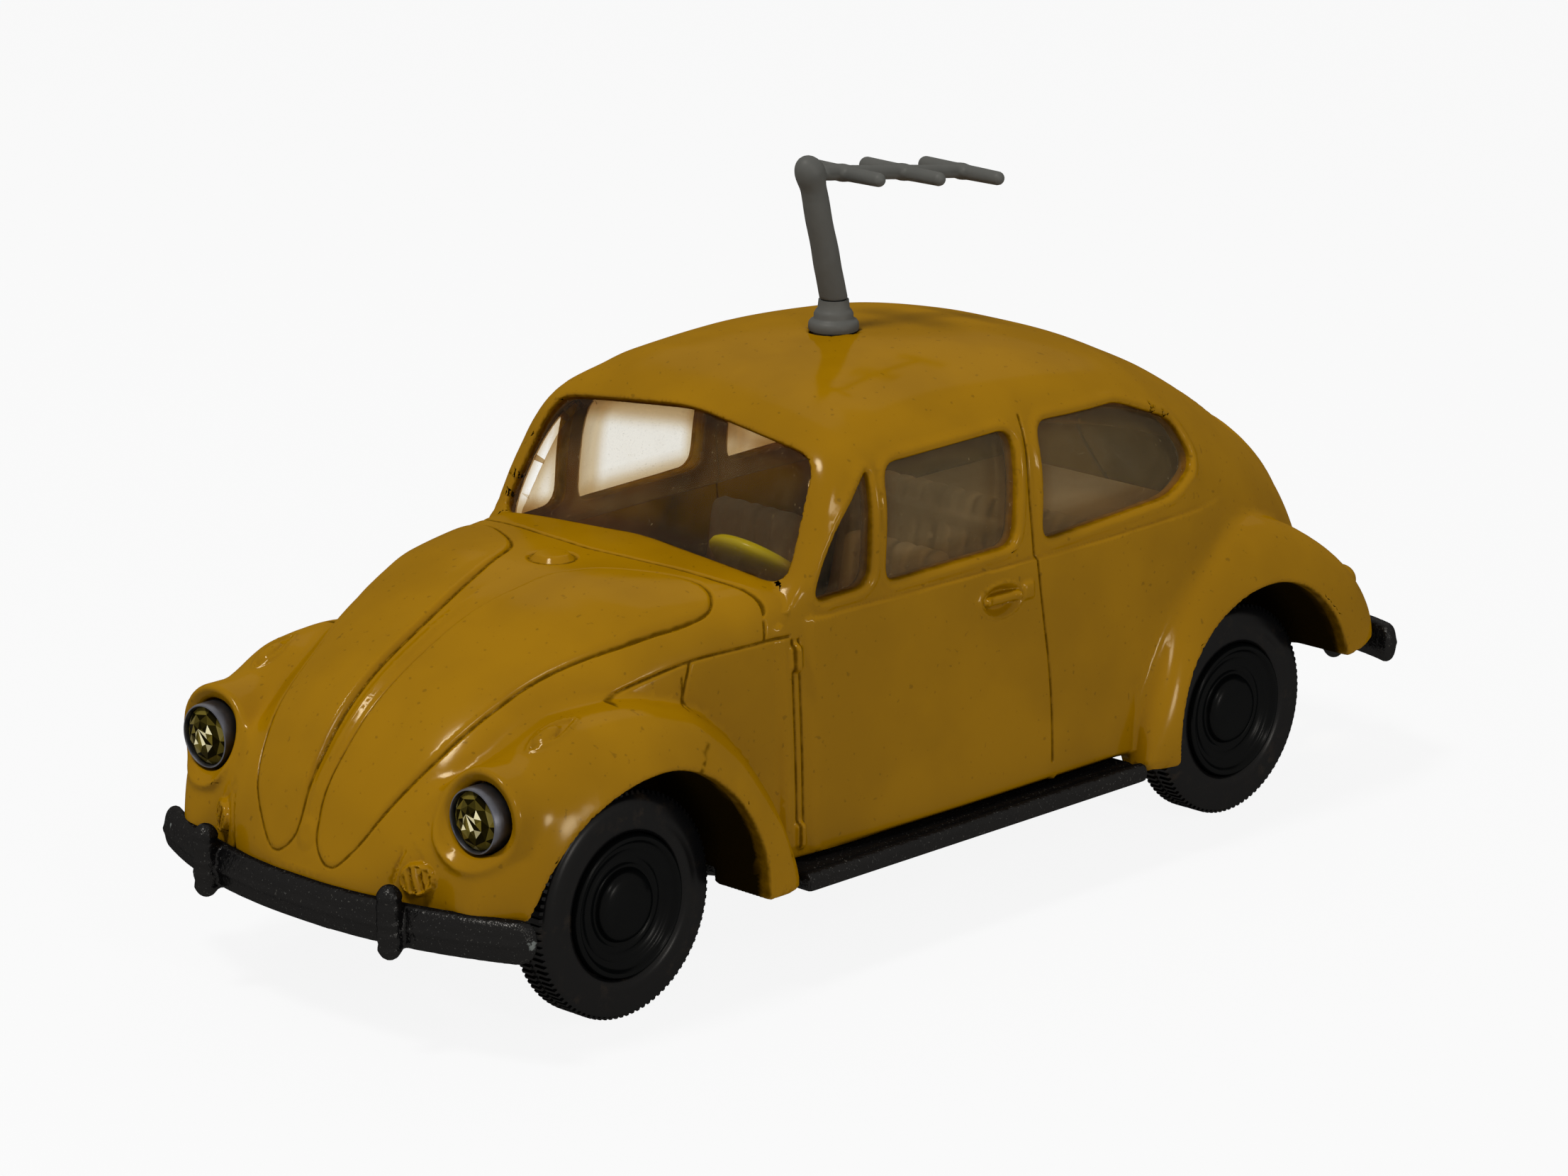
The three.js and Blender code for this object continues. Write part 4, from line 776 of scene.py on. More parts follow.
def bodySkin(p):
    x, y, z = folded(p)
    panel, shut, lid, line = creases(p)

    # belt ledge below the windows, fading out behind the doors
    ledge = 0.3 * eased(belt - z, -0.12, 0.2) * eased(x, peak - 24, peak - 19)
    cabin = ended(cabinSkin(p) - ledge * eased(-x, -foot, 1 - foot), cabinForm, x)
    bonnet = ended(noseSkin(p), noseForm, x)
    inner = joined(cabin, bonnet, 0.7)
    cabin = cut(cabin, cabinForm["floor"](x) - z, 0.3)
    bonnet = cut(bonnet, noseForm["floor"](x) - z, 0.3)

    # raised bonnet panels with a line round them, the ridge between, the shut line, the boss and the grip
    arc = unrolled(p, bonnetDrum, 1)
    swell = (0.12 + 0.2 * eased(-y, -3.4, -1.6)) * eased(-panel, -0.02, 0.4) - groove(panel)
    middle = 0.24 * ridge(y, 0.34) * eased(arc, 4.2, 6) * eased(-arc, -29, -22)
    badge = badgeRound(x, y)
    badge = (0.3 * eased(-badge, -1, -0.7) - 0.14 * ridge(badge - 1.08, 0.1)) * eased(z, 22, 23)
    gripAt, gripHalf, gripWide = detail["grip"]
    grip = 0.5 * eased(-np.hypot((arc - gripAt) / gripHalf, y / gripWide), -1, -0.4)
    shutLine = groove(shut) * eased(z, 20.5, 21.5)
    bonnet = bonnet - onBonnet(x) * (swell + middle - shutLine + badge + grip)

    # rear lid, then door lines, cowl seam and window frames on the flanks
    cabin = cabin - onTail(x) * (0.16 * eased(-lid, 0, 0.4) - groove(lid))
    skin = joined(cabin, bonnet, 0.8)
    side = eased(y, 10.5, 12)
    frames = 0.16 * ridge(sideWindows(x, z) - 0.45, 0.3) * (z > belt)
    skin = skin + side * (groove(line) - frames)

    # door handles in their dishes, locks and hinges
    handleX, handleZ = detail["handle"]
    dish = np.hypot((x - handleX) / 1.8, (z - handleZ) / 1.05)
    skin = skin + side * (0.4 * eased(-dish, -1, -0.55) - 0.1 * ridge(dish - 1.08, 0.1))
    handle = np.hypot(np.hypot(beyond(x - handleX, 1.3), z - handleZ - 0.1), (skin - 0.25) * 0.8) - 0.34
    lockX, lockZ = detail["lock"]
    lock = np.hypot(np.hypot(beyond(x - lockX, 0.25), beyond(z - lockZ, 0.3)), skin) - 0.26
    hinge = least(*(np.hypot(x - detail["hinge"], beyond(z - up, 0.5)) for up in detail["hinges"]))
    hinge = np.hypot(hinge, skin - 0.05) - 0.4
    skin = joined(skin, np.where(y > 10, least(handle, lock, hinge), away), 0.25)

    # fenders with lamp collars and indicators
    wing, tailWing = (cut(ended(fender(p), form, x), form["bottom"](x) - z, 0.5)
                      for fender, form in ((frontSkin, frontFender), (rearSkin, rearFender)))
    lampRound = np.hypot(y - lampSide, z - lampUp)
    collar = cut(lampRound - detail["lampCollar"], np.maximum(x - lamp + 1.05, lamp - 5 - x), 0.4)
    wing = joined(wing, collar, 0.5)
    dropX, dropY = detail["indicator"]
    t = np.clip((dropX + 0.2 - x) / 4.6, 0, 1)
    drop = np.hypot(np.hypot(x - dropX + 2.6 * t, y - dropY - 0.15 * t), wing * 1.6) - 0.62 + 0.4 * t
    leaf = leafEdge(x, y)
    wing = wing - 0.14 * (ridge(leaf, 0.16) - 0.8 * eased(-leaf, 0.05, 0.3)) * (z > detail["indicatorLow"])
    wing = joined(wing, drop + away * (z < detail["indicatorLow"]), 0.25)
    soft = 0.45 + 0.6 * eased(x, front - 3, front + 6) + 1.4 * eased(x, lamp - 2.6, lamp)
    whole = joined(joined(skin, wing, soft), tailWing, 0.5)

    # horn slats, nose seams, lamp rings and rear lamps
    hornY, hornZ = detail["horn"]
    firstSlat, pitch = detail["slats"]
    horn = np.hypot(y - hornY, z - hornZ)
    across = y - firstSlat + 0.25 * (z - hornZ)
    slats = ridge(across - np.round(across / pitch) * pitch, 0.12) * eased(-horn, -0.85, -0.7)
    relief = 0.45 * eased(-horn, -1.12, -0.88) - 0.28 * slats
    relief = (relief - 0.2 * ridge(frontSeam(y, z), detail["lineWidth"])) * (x > 38)
    whole = whole - relief - 0.22 * ridge(lampRound - detail["lampRing"], 0.4) * (x > 36)
    bossX, bossY, bossZ = detail["rearLamp"]
    boss = np.linalg.norm(np.stack([(x - bossX) / 1.2, y - bossY, z - bossZ], 1), axis=1)
    return joined(whole, boss - detail["rearLampRadius"], 0.25), inner


archShape = {"inside": 8.8, "liner": 1.1, "slot": (2.6, 2.7),
             "arches": ((front, 10.3, 8.4, 9), (rear, 9.9, 8.4, 9.3))}  # axle, ahead, behind, rise


def archCut(p, axle, ahead, behind, rise):  # flat distance to a wheel arch of two quarter ellipses
    u, v = p[:, 0] - axle, p[:, 2] - axleUp
    across = np.where(u > 0, ahead, behind)
    up = np.maximum(v, 0) / rise
    g = np.hypot(u / across, up)
    slope = np.hypot(u / across ** 2, up / rise)
    return (g - 1) * g / np.maximum(slope, 0.02)


def aerialHole(p, radius):  # below zero in the hole for the aerial's collar
    return np.maximum(np.hypot(p[:, 0] - aerialAt, p[:, 1]) - radius, 30 - p[:, 2])


def bodyField(p):
    x, y, z = folded(p)
    skin, room = bodySkin(p)
    hollow = greatest(room + 1.15, x - nose + 3.4, tail + 2.6 - x)
    shell = cut(skin, -hollow, 0.2)
    inside, liner = archShape["inside"], archShape["liner"]
    slotHalf, slotTop = archShape["slot"]
    for arch in archShape["arches"]:
        well = archCut(p, *arch)
        slot = np.maximum(np.abs(x - arch[0]) - slotHalf, z - axleUp - slotTop)
        lining = greatest(well - liner, inside - liner - y, -slot, skin, sill - z)
        shell = cut(np.minimum(shell, lining), -np.maximum(well, inside - y), 0.35)
    shell = cut(shell, -windowField(p), 0.3)
    socket = np.maximum(np.hypot(y - lampSide, z - lampUp) - detail["lampSocket"], lamp - 2.15 - x)
    shell = cut(shell, -socket, 0.25)
    return np.maximum(shell, -aerialHole(p, 1.55))


def dirtAndEdgeShade(p):  # where paint is thin and dirt sits in the lines; along the window openings and wheel arch edges it is painted shade
    x, y, z = folded(p)
    panel, shut, lid, line = (ridge(distance, detail["dirtWidth"]) for distance in creases(p))
    boss = ridge(badgeRound(x, y) - 1.08, 0.1) * (z > 22)
    bonnet = greatest(panel, shut * (z > 21), boss) * onBonnet(x)
    crack = ridge(fenderCrack(x, p[:, 1]), 0.1) * (z > 14)
    # painted shade: dark lines along the wheel arch edges and round the window openings
    edges = [0.75 * ridge(archCut(p, *arch), 0.16) * (y > 12) for arch in archShape["arches"]]
    window = 0.6 * ridge(windowField(p), 0.14)
    return greatest(bonnet, lid * onTail(x), line * eased(y, 11, 12), crack, window, *edges)


def insideShade(p):  # painted shade: a little darker on the inside of the shell, nearly black in the wheel wells
    deep = np.abs(p[:, 1]) > archShape["inside"] - 1.5
    well = greatest(*(eased(-archCut(p, *arch), -3.4, -2.4) * deep for arch in archShape["arches"]))
    fender = eased(-np.minimum(frontSkin(p), rearSkin(p)), 0.75, 1.1) * well
    return np.maximum(eased(-bodySkin(p)[0], 0.75, 1.1) * (0.12 + 0.88 * well), fender)


fineSpots = [  # place and size of the small raised details
    ((42.3, *detail["horn"]), 1.6), ((34.2, 12, 19), 2.6), ((-3.2, 14.6, 20.3), 2.4),
    ((detail["hinge"], 13.8, 20), 1.4), ((detail["hinge"], 14, 9), 1.4), ((22.6, 0, 25.2), 2),
    ((43.3, 0, 11.9), 1.6), ((-39.5, *detail["rearLamp"][1:]), 1.8), ((39.5, lampSide, lampUp), 3.6),
]


def lineSpacing(p):  # edge length wanted near the lines, the openings and the raised details
    x, y, z = folded(p)
    panel, shut, lid, line = creases(p)
    line = least(np.minimum(np.abs(panel), shut) + away * (x < foot + 0.8),
                 np.abs(lid) + away * (x > -27), line + away * (y < 11))
    lampRing = np.abs(np.hypot(y - lampSide, z - lampUp) - 2.6) + away * (x < 37)
    ledge = np.abs(belt - z) + away * ((y < 11) | (x < peak - 24) | (x > foot + 1))
    edges = [np.abs(archCut(p, *arch)) + away * (y < 12) for arch in archShape["arches"]]
    edge = least(np.abs(windowField(p)), lampRing, ledge, *edges)
    whole = np.stack([x, y, z], 1)
    spot = least(*(np.linalg.norm(whole - at, axis=1) - reach for at, reach in fineSpots))
    near = least(0.13 + 0.6 * np.maximum(line - 0.25, 0), 0.28 + 0.5 * np.maximum(edge - 0.4, 0),
                 0.2 + 0.5 * np.maximum(spot, 0))
    return np.where(bodySkin(p)[0] < -1.2, 3.0, np.minimum(near, 0.7))


bodyMesh = castMesh(bodyField, (-44.5, -18.2, 5.5), (45, 18.2, 36.6), 0.62, lineSpacing, 3,
                    {"line": dirtAndEdgeShade, "inside": insideShade})
finished("body_casting", bodyMesh, "ochre_paint", "car", "body_shell")


# Clear moulding behind the windows

glazing = {
    "back": 1.27, "thick": 0.75, "stand": 0.42, "edge": -0.12, "bottom": 22.3, "rear": -35.3, "hole": 2.1,
}


def glazingField(p):
    cabin = ended(cabinSkin(p), cabinForm, p[:, 0])
    pane = np.maximum(cabin + glazing["stand"], windowField(p) + glazing["edge"])
    solid = joined(cabin + glazing["back"], pane, 0.12)
    solid = cut(solid, -(cabin + glazing["back"] + glazing["thick"]), 0.15)
    solid = cut(solid, np.maximum(glazing["bottom"] - p[:, 2], glazing["rear"] - p[:, 0]), 0.2)
    return np.maximum(solid, -aerialHole(p, glazing["hole"]))


def glazingSpacing(p):
    return np.minimum(0.16 + 0.5 * np.maximum(np.abs(windowField(p)) - 0.25, 0), 0.8)


glassMesh = castMesh(glazingField, (-37, -15, 21.5), (17.5, 15, 35.6), 0.45, glazingSpacing, 2, {
    "pane": lambda p: eased(-windowField(p), -0.3, 0.1),
    "border": lambda p: eased(windowField(p), -1.5, -0.2),
})
finished("glass_moulding", glassMesh, "clear_plastic", "car", "window_glazing")


# Black base casting with running boards and bumpers

base = {
    "bottom": 5.2, "top": 6.5, "spine": 8, "inner": 13.3,
    "boardEnds": (rearEnd + 0.3, frontEnd - 0.3), "boardTop": 7.0, "boardLow": 5.95, "boardHalf": wide - 0.3,
    "posts": (35.5, -37.9), "bearingSides": (5.6, 8.2), "bearingTop": 9.25, "bearingHalf": 2.2, "bore": 1.2,
    "face": 44.7, "halfTall": 1.36, "halfDeep": 0.72, "overriderSide": 8.3, "overrider": (0.68, 0.72),
    "overriderAt": 44.2, "overriderReach": (1.25, 1.35),
    "bracketSide": 4.8, "bracketHalf": 1.2,
    "bumpers": ((1, 8.2, 16.4, 3.9, 2.2), (-1, 8.9, 15, 1.7, 3.6)),  # way, height, half width, sweep, power
    "chips": ((40.2, 16.6, 8.1, 1.0), (41.9, -14.6, 8.9, 0.6), (44.6, 8.3, 10.0, 0.4), (-43.2, 14.8, 9, 0.7)),
}
boardRear, boardFront = base["boardEnds"]
plateHalf = [
    (base["posts"][0] + 2.8, 4), (base["posts"][0] + 0.8, base["spine"] - 1), (front + 2, base["spine"]),
    (boardFront + 0.5, base["spine"]), (boardFront - 0.6, base["inner"]), (boardRear + 0.6, base["inner"]),
    (boardRear - 0.5, base["spine"]), (rear - 2, base["spine"]), (base["posts"][1] - 2, base["spine"] - 1),
    (base["posts"][1] - 3.6, 4),
]
plateOutline = plateHalf + [(x, -y) for x, y in plateHalf[::-1]]
platePlan = distanceMap([roundedOutline(plateOutline, 1.4)], True, 0.2, 2)


def slab(flat, across, corner):  # an extruded outline with rounded edges
    a, b = flat + corner, across + corner
    return np.hypot(np.maximum(a, 0), np.maximum(b, 0)) + np.minimum(np.maximum(a, b), 0) - corner


def bumperField(p, way, height, half, sweep, power, post):
    x, y, z = way * p[:, 0], np.abs(p[:, 1]), p[:, 2]
    t = np.minimum(y / half, 1.15)
    slope = sweep * power * t ** (power - 1) / half
    out = (x - base["face"] + base["halfDeep"] + sweep * t ** power) / np.hypot(1, slope)
    up = z - height
    deep = base["halfDeep"] * (1 + 0.2 * ridge(up, 0.22) * (out > 0))
    section = (np.abs(out / deep) ** 2.4 + np.abs(up / base["halfTall"]) ** 2.4) ** (1 / 2.4)
    solid = cut((section - 1) * base["halfDeep"], y - half, 0.9)
    peg = np.abs(np.stack([x, y, z], 1))
    at, side = base["overriderAt"], base["overriderSide"]
    below, above = base["overriderReach"]
    overrider = bar(peg, (at, side, height - below), (at, side, height + above), *base["overrider"])
    overrider = overrider - 0.12 * ridge(up + 0.3, 0.16) - 0.08 * ridge(np.abs(up - 0.05) - 1.3, 0.2)
    solid = joined(solid, overrider, 0.3)
    bend, low = post + 1, base["top"] - 1.2
    rise = np.clip((x - bend) / (base["face"] - 0.9 - bend), 0, 1) * (height - 0.3 - low)
    arm = np.maximum(np.abs(z - low - 0.6 - rise) - 0.6, np.maximum(post - 3 - x, x - base["face"] + 0.9))
    return np.minimum(solid, np.maximum(arm, np.abs(y - base["bracketSide"]) - base["bracketHalf"]))


def baseField(p):
    x, y, z = folded(p)
    middle, half = (base["top"] + base["bottom"]) / 2, (base["top"] - base["bottom"]) / 2
    solid = slab(platePlan(x, p[:, 1]), np.abs(z - middle) - half, 0.3)
    along = np.maximum(x - boardFront, boardRear - x)
    lip = 0.16 * ridge(y - base["boardHalf"] + 0.45, 0.3) - 0.1 * ridge(y - base["boardHalf"] + 1.25, 0.2)
    across = np.maximum(y - base["boardHalf"], base["inner"] - 1.5 - y)
    thick = np.abs(z - (base["boardTop"] + base["boardLow"]) / 2) - (base["boardTop"] - base["boardLow"]) / 2
    board = slab(np.maximum(across, along), thick - lip * (z > base["boardLow"] + 0.5), 0.28)
    solid = joined(solid, board, 0.3)
    near, far = base["bearingSides"]
    for axle in (front, rear):
        bearing = block(np.stack([x - axle, y, z], 1), (-base["bearingHalf"], near, base["bottom"]),
                        (base["bearingHalf"], far, base["bearingTop"]), 0.4)
        solid = joined(solid, bearing, 0.3)
        solid = np.maximum(solid, base["bore"] - np.hypot(x - axle, z - axleUp))
    for bumper, post in zip(base["bumpers"], base["posts"]):
        solid = joined(solid, bumperField(p, *bumper, abs(post)), 0.2)
    for post in base["posts"]:
        solid = np.maximum(solid, base["bore"] - np.hypot(x - post, y))
    return solid


def baseSpacing(p):
    return np.where((np.abs(p[:, 0]) > 38) | (np.abs(p[:, 1]) > 14.5), 0.26, 0.8)


def chipMark(p):  # worn places where the metal shows
    mark = np.zeros(len(p))
    for x, y, z, size in base["chips"]:
        mark = np.maximum(mark, 1 - np.linalg.norm(p - (x, y, z), axis=1) / size)
    return mark


baseMesh = castMesh(baseField, (-46, -18, 4.4), (46.2, 18, 12.2), 0.45, baseSpacing, 2, {"bare": chipMark})
finished("base_casting", baseMesh, "black_paint", "car", "base_plate")


# Seats and steering wheel

seats = {
    "floor": sill, "tray": 1.0, "reach": 12.5, "front": foot - 3.2, "rear": -16.3,
    "seatSide": 6, "seatHalf": 4.5, "seatFront": foot - 9, "seatTop": 22.5,
    "scuttleTop": belt - 0.2, "shelfTop": belt - 2, "pleat": 1.5, "pleatDepth": 0.16,
}


def seatOutline(start, length, lean, top, cushion, dip):  # squab and cushion seen from the side
    low, seat = seats["floor"] + 0.2, seats["floor"] + seats["tray"] + cushion
    return distanceMap([roundedOutline([
        (start, low), (start - 0.2, seat), (start - length, seat - 0.6), (start - length - lean, top),
        (start - length - lean - 1.5, top), (start - length - dip, low),
    ], 1.3)], True)


frontSeat = seatOutline(seats["seatFront"], 5.6, 1.8, seats["seatTop"], 4, 2.2)
rearBench = seatOutline(seats["rear"] + 8, 5.4, 2.2, seats["seatTop"] - 0.8, 5, 2.5)


def seatField(p):
    x, y, z = folded(p)
    floor, reach, tray, ahead, back = (seats[k] for k in ("floor", "reach", "tray", "front", "rear"))
    top, shelfTop = seats["scuttleTop"], seats["shelfTop"]
    solid = block(p, (back, -reach, floor), (ahead, reach, floor + tray), 0.3)
    scuttle = block(p, (ahead - 1, 1.5 - reach, floor), (ahead, reach - 1.5, top), 0.3)
    shelf = block(p, (rear - 2, 3 - reach, shelfTop - tray), (back + 1, reach - 3, shelfTop), 0.3)
    solid = joined(joined(solid, scuttle, 0.3), shelf, 0.3)
    turns = y / seats["pleat"]
    pleats = seats["pleatDepth"] * ridge(turns - np.round(turns), 0.12) * (z > floor + 4)
    seat = slab(frontSeat(x, z), np.abs(y - seats["seatSide"]) - seats["seatHalf"], 1) + pleats
    bench = slab(rearBench(x, z), y - reach + 0.6, 1) + pleats
    return joined(solid, np.minimum(seat, bench), 0.3)


seatMesh = castMesh(seatField, (-30.5, -13.5, 6.8), (12.6, 13.5, 23.4), 0.45)
finished("seat_moulding", seatMesh, "cream_plastic", "car", "seat_tray")

steering = {"axis": (-0.62, 0, 0.785), "foot": (11.52, 4.8, 20.12), "column": 3.2, "radius": 3.5}
rim, column = steering["radius"], steering["column"]
wheelAt = Vector(steering["foot"]) + Vector(steering["axis"]).normalized() * column
wheelProfile = [
    (0, -column), (0.6, -column), (0.6, -1.05), (1.0, -0.98), (1.6, -0.84), (2.2, -0.62), (2.7, -0.38),
    (rim - 0.4, -0.12), (rim - 0.12, 0.1), (rim, 0.36), (rim - 0.08, 0.62), (rim - 0.3, 0.8),
    (rim - 0.6, 0.78), (rim - 0.85, 0.6), (rim - 1.2, 0.5), (1.3, 0.4), (0.95, 0.45), (0.7, 0.68),
    (0, 0.74),
]
steeringMesh = latheMesh(wheelProfile, 64, steering["axis"], wheelAt, 50)
finished("steering_moulding", steeringMesh, "olive_plastic", "car", "steering_wheel")


# Headlamps: dark barrels with a faceted jewel, its sparkle painted on per facet

headlamp = {
    "length": 2.1, "barrel": 2.05, "jewel": 1.82, "girdle": 1.78, "crown": 0.6, "pavilion": 0.8,
    "facets": 9, "seed": 3,
}
long, barrel, jewel, girdle, crown, pavilion, facets, seed = headlamp.values()


def facetedMesh(rings, place):  # rings of (radius, along, count, half steps turned)
    hull = bpy.data.meshes.new("stone")
    shape = bmesh.new()
    for radius, along, count, turned in rings:
        for i in range(count):
            angle = 2 * math.pi * (i + turned / 2) / count
            across, up = radius * math.cos(angle), radius * math.sin(angle)
            shape.verts.new(Vector((place[0] + along, place[1] + across, place[2] + up)) * mm)
    bmesh.ops.convex_hull(shape, input=shape.verts)
    bmesh.ops.recalc_face_normals(shape, faces=shape.faces)
    shape.to_mesh(hull)
    shape.free()
    # painted light: each facet gets a random tone, lighter towards the middle, that stands in for the jewel's
    # reflections
    tone = np.random.default_rng(seed).random(len(hull.polygons))
    apart = np.array([(face.center / mm - place).yz.length for face in hull.polygons])
    facetLight = hull.attributes.new("facetLight", "FLOAT", "FACE")
    facetLight.data.foreach_set("value", tone * (1.08 - 0.2 * apart / jewel))
    return hull


barrelProfile = [
    (0, 0), (barrel - 0.25, 0), (barrel - 0.05, 0.2), (barrel, 0.45), (barrel, long - 0.5),
    (barrel - 0.02, long - 0.15), (barrel - 0.07, long), (jewel + 0.08, long + 0.02),
    (jewel + 0.02, long - 0.1), (jewel + 0.02, long - 0.45), (0.3, long - 1.4), (0, long - 1.42),
]
stone = [
    (jewel * 0.3, girdle + crown, facets, 0), (jewel * 0.56, girdle + crown * 0.86, facets, 1),
    (jewel * 0.8, girdle + crown * 0.55, facets, 0), (jewel, girdle, facets * 2, 0),
    (jewel, girdle - 0.1, facets * 2, 0), (0.05, girdle - pavilion, 4, 0),
]
for side, name in ((1, "left"), (-1, "right")):
    place = Vector((lamp - long, side * lampSide, lampUp))
    barrelMesh = latheMesh(barrelProfile, 64, (1, 0, 0), place, 40)
    finished("lamp_barrel_" + name, barrelMesh, "gunmetal", "car", "headlamp_bezel_" + name)
    finished("lamp_jewel_" + name, facetedMesh(stone, place), "jewel_glass", "car", "headlamp_jewel_" + name)


# Wheels

wheel = {
    "side": 11.8, "outside": axleUp, "bore": 4.62, "lug": 0.16, "lugs": 96, "lugSize": (0.27, 1.22, 0.4),
    "lugRow": 0.68, "barrel": 4.5, "cap": 2.3, "axle": 0.9, "axleHalf": 11.9,
}


def lugTree():
    tree = bpy.data.node_groups.new("tread_lugs", "GeometryNodeTree")
    sockets = [
        ("Tyre", "NodeSocketGeometry"), ("Lugs", "NodeSocketInt"), ("Radius", "NodeSocketFloat"),
        ("Lug Size", "NodeSocketVector"), ("Row", "NodeSocketFloat"), ("Place", "NodeSocketVector"),
        ("Material", "NodeSocketMaterial"),
    ]
    for name, kind in sockets:
        tree.interface.new_socket(name, in_out="INPUT", socket_type=kind)
    tree.interface.new_socket("Tyre", in_out="OUTPUT", socket_type="NodeSocketGeometry")
    start = Wire(tree)
    given = tree.nodes.new("NodeGroupInput")
    take = {name: Wire(tree, given.outputs[name]) for name, kind in sockets}
    lug = start.node("GeometryNodeMeshCone", {
        "Vertices": 4, "Radius Top": 0.5, "Radius Bottom": math.sqrt(0.5), "Depth": 1.0})
    lug = start.node("GeometryNodeTransform", {"Geometry": lug, "Rotation": (0, 0, math.pi / 4)})
    lug = start.node("GeometryNodeTransform", {"Geometry": lug, "Scale": take["Lug Size"]})
    made = [take["Tyre"]]
    for way in (1, -1):
        ring = start.node("GeometryNodeMeshCircle", {"Vertices": take["Lugs"], "Radius": take["Radius"]})
        halfStep = (way > 0) * math.pi / wheel["lugs"]
        ring = start.node("GeometryNodeTransform", {"Geometry": ring, "Rotation": (math.pi / 2, halfStep, 0)})
        turn = start.node("FunctionNodeAlignRotationToVector", {
            "Vector": start.node("GeometryNodeInputPosition")}, axis="Z", pivot_axis="Y")
        lugs = start.node("GeometryNodeInstanceOnPoints", {"Points": ring, "Instance": lug, "Rotation": turn})
        shift = start.node("ShaderNodeCombineXYZ", {"Y": take["Row"] * way})
        shift = start.node("ShaderNodeVectorMath", {0: shift, 1: take["Place"]}, operation="ADD")
        lugs = start.node("GeometryNodeTransform", {"Geometry": lugs, "Translation": shift})
        made.append(start.node("GeometryNodeRealizeInstances", {"Geometry": lugs}))
    join = tree.nodes.new("GeometryNodeJoinGeometry")
    for part in made[::-1]:
        tree.links.new(part.socket, join.inputs[0])
    whole = start.node("GeometryNodeRealizeInstances", {"Geometry": Wire(tree, join.outputs[0])})
    whole = start.node("GeometryNodeSetMaterial", {"Geometry": whole, "Material": take["Material"]})
    start.node("NodeGroupOutput", {0: whole})
    return tree


treadTree = lugTree()


def lugged(mesh, place):
    carrier = bpy.data.objects.new("tread_carrier", mesh)
    bpy.context.scene.collection.objects.link(carrier)
    modifier = carrier.modifiers.new("tread", "NODES")
    modifier.node_group = treadTree
    values = {
        "Lugs": wheel["lugs"], "Radius": (wheel["outside"] - wheel["lugSize"][2]) * mm,
        "Lug Size": [v * mm for v in wheel["lugSize"]], "Row": wheel["lugRow"] * mm,
        "Place": [v * mm for v in place], "Material": finish["tyre_vinyl"],
    }
    for item in treadTree.interface.items_tree:
        if item.in_out == "INPUT" and item.name in values:
            modifier[item.identifier] = values[item.name]
    whole = bpy.data.meshes.new_from_object(carrier.evaluated_get(bpy.context.evaluated_depsgraph_get()))
    carrier.modifiers.remove(modifier)
    bpy.data.objects.remove(carrier)
    return whole


def doubled(half):  # a profile that is the same on both sides
    return [(radius, -along) for radius, along in half] + half[::-1]


tyreOuter = wheel["outside"] - wheel["lug"]
tyreHalf = [
    (wheel["bore"], 1.3), (4.85, 1.52), (5.1, 1.56), (5.35, 1.6), (5.5, 1.56), (5.7, 1.6), (6.0, 1.57),
    (6.4, 1.52), (6.72, 1.42), (6.9, 1.28), (tyreOuter, 1.1),
]
tyreProfile = doubled(tyreHalf) + [(wheel["bore"], -1.3)]
pin, half = wheel["axle"], wheel["axleHalf"]
pinProfile = doubled([(0, half), (pin - 0.3, half), (pin - 0.08, half - 0.1), (pin, half - 0.35)])
cap, barrel = wheel["cap"], wheel["barrel"]
hubProfile = [
    (1.05, -3.0), (1.8, -3.0), (1.8, -1.2), (barrel, -1.2), (barrel, 1.45), (barrel - 0.06, 1.62),
    (barrel - 0.2, 1.7), (barrel - 0.36, 1.64), (barrel - 0.46, 1.42), (barrel - 0.72, 1.22),
    (barrel - 0.86, 1.24), (barrel - 0.98, 1.14), (barrel - 1.2, 1.05), (3.1, 0.98), (2.95, 1.06),
    (2.75, 1.08), (2.6, 0.98), (cap + 0.12, 0.9), (cap, 0.96), (cap - 0.02, 1.2), (cap - 0.16, 1.42),
    (cap - 0.5, 1.58), (cap - 1, 1.68), (0.5, 1.74), (0, 1.75), (0, 0.4), (1.05, 0.4), (1.05, -3.0),
]
for end, axle in (("front", front), ("rear", rear)):
    body = end + "_wheels"
    for side, name in ((1, "left"), (-1, "right")):
        place = (axle, side * wheel["side"], axleUp)
        tyreMesh = lugged(latheMesh(tyreProfile, 128, (0, side, 0), place, 35), place)
        finished(f"tyre_{end}_{name}", tyreMesh, "tyre_vinyl", body, f"{end}_tyre_{name}")
        hubMesh = latheMesh(hubProfile, 96, (0, side, 0), place, 60)
        finished(f"hub_{end}_{name}", hubMesh, "black_plastic", body, f"{end}_hub_{name}")
    pinMesh = latheMesh(pinProfile, 48, (0, 1, 0), (axle, 0, axleUp), 40)
    finished("axle_" + end, pinMesh, "steel", body, end + "_axle")

rivet = {"head": 1.9, "thick": 0.8, "shank": 1.0, "seat": 4.9, "top": 11.2}
headRadius, thick, shank, seat, top = rivet.values()
low = seat - thick
rivetProfile = [
    (0, low - 0.02), (0.5, low), (headRadius * 0.6, low + 0.08), (headRadius * 0.88, low + 0.26),
    (headRadius, low + 0.5), (headRadius, seat), (shank, seat), (shank, top), (0, top),
]
for name, post in zip(("front", "rear"), base["posts"]):
    rivetMesh = latheMesh(rivetProfile, 48, (0, 0, 1), (post, 0, 0), 40)
    finished("rivet_" + name, rivetMesh, "steel", "car", name + "_rivet")


# Aerial on the roof

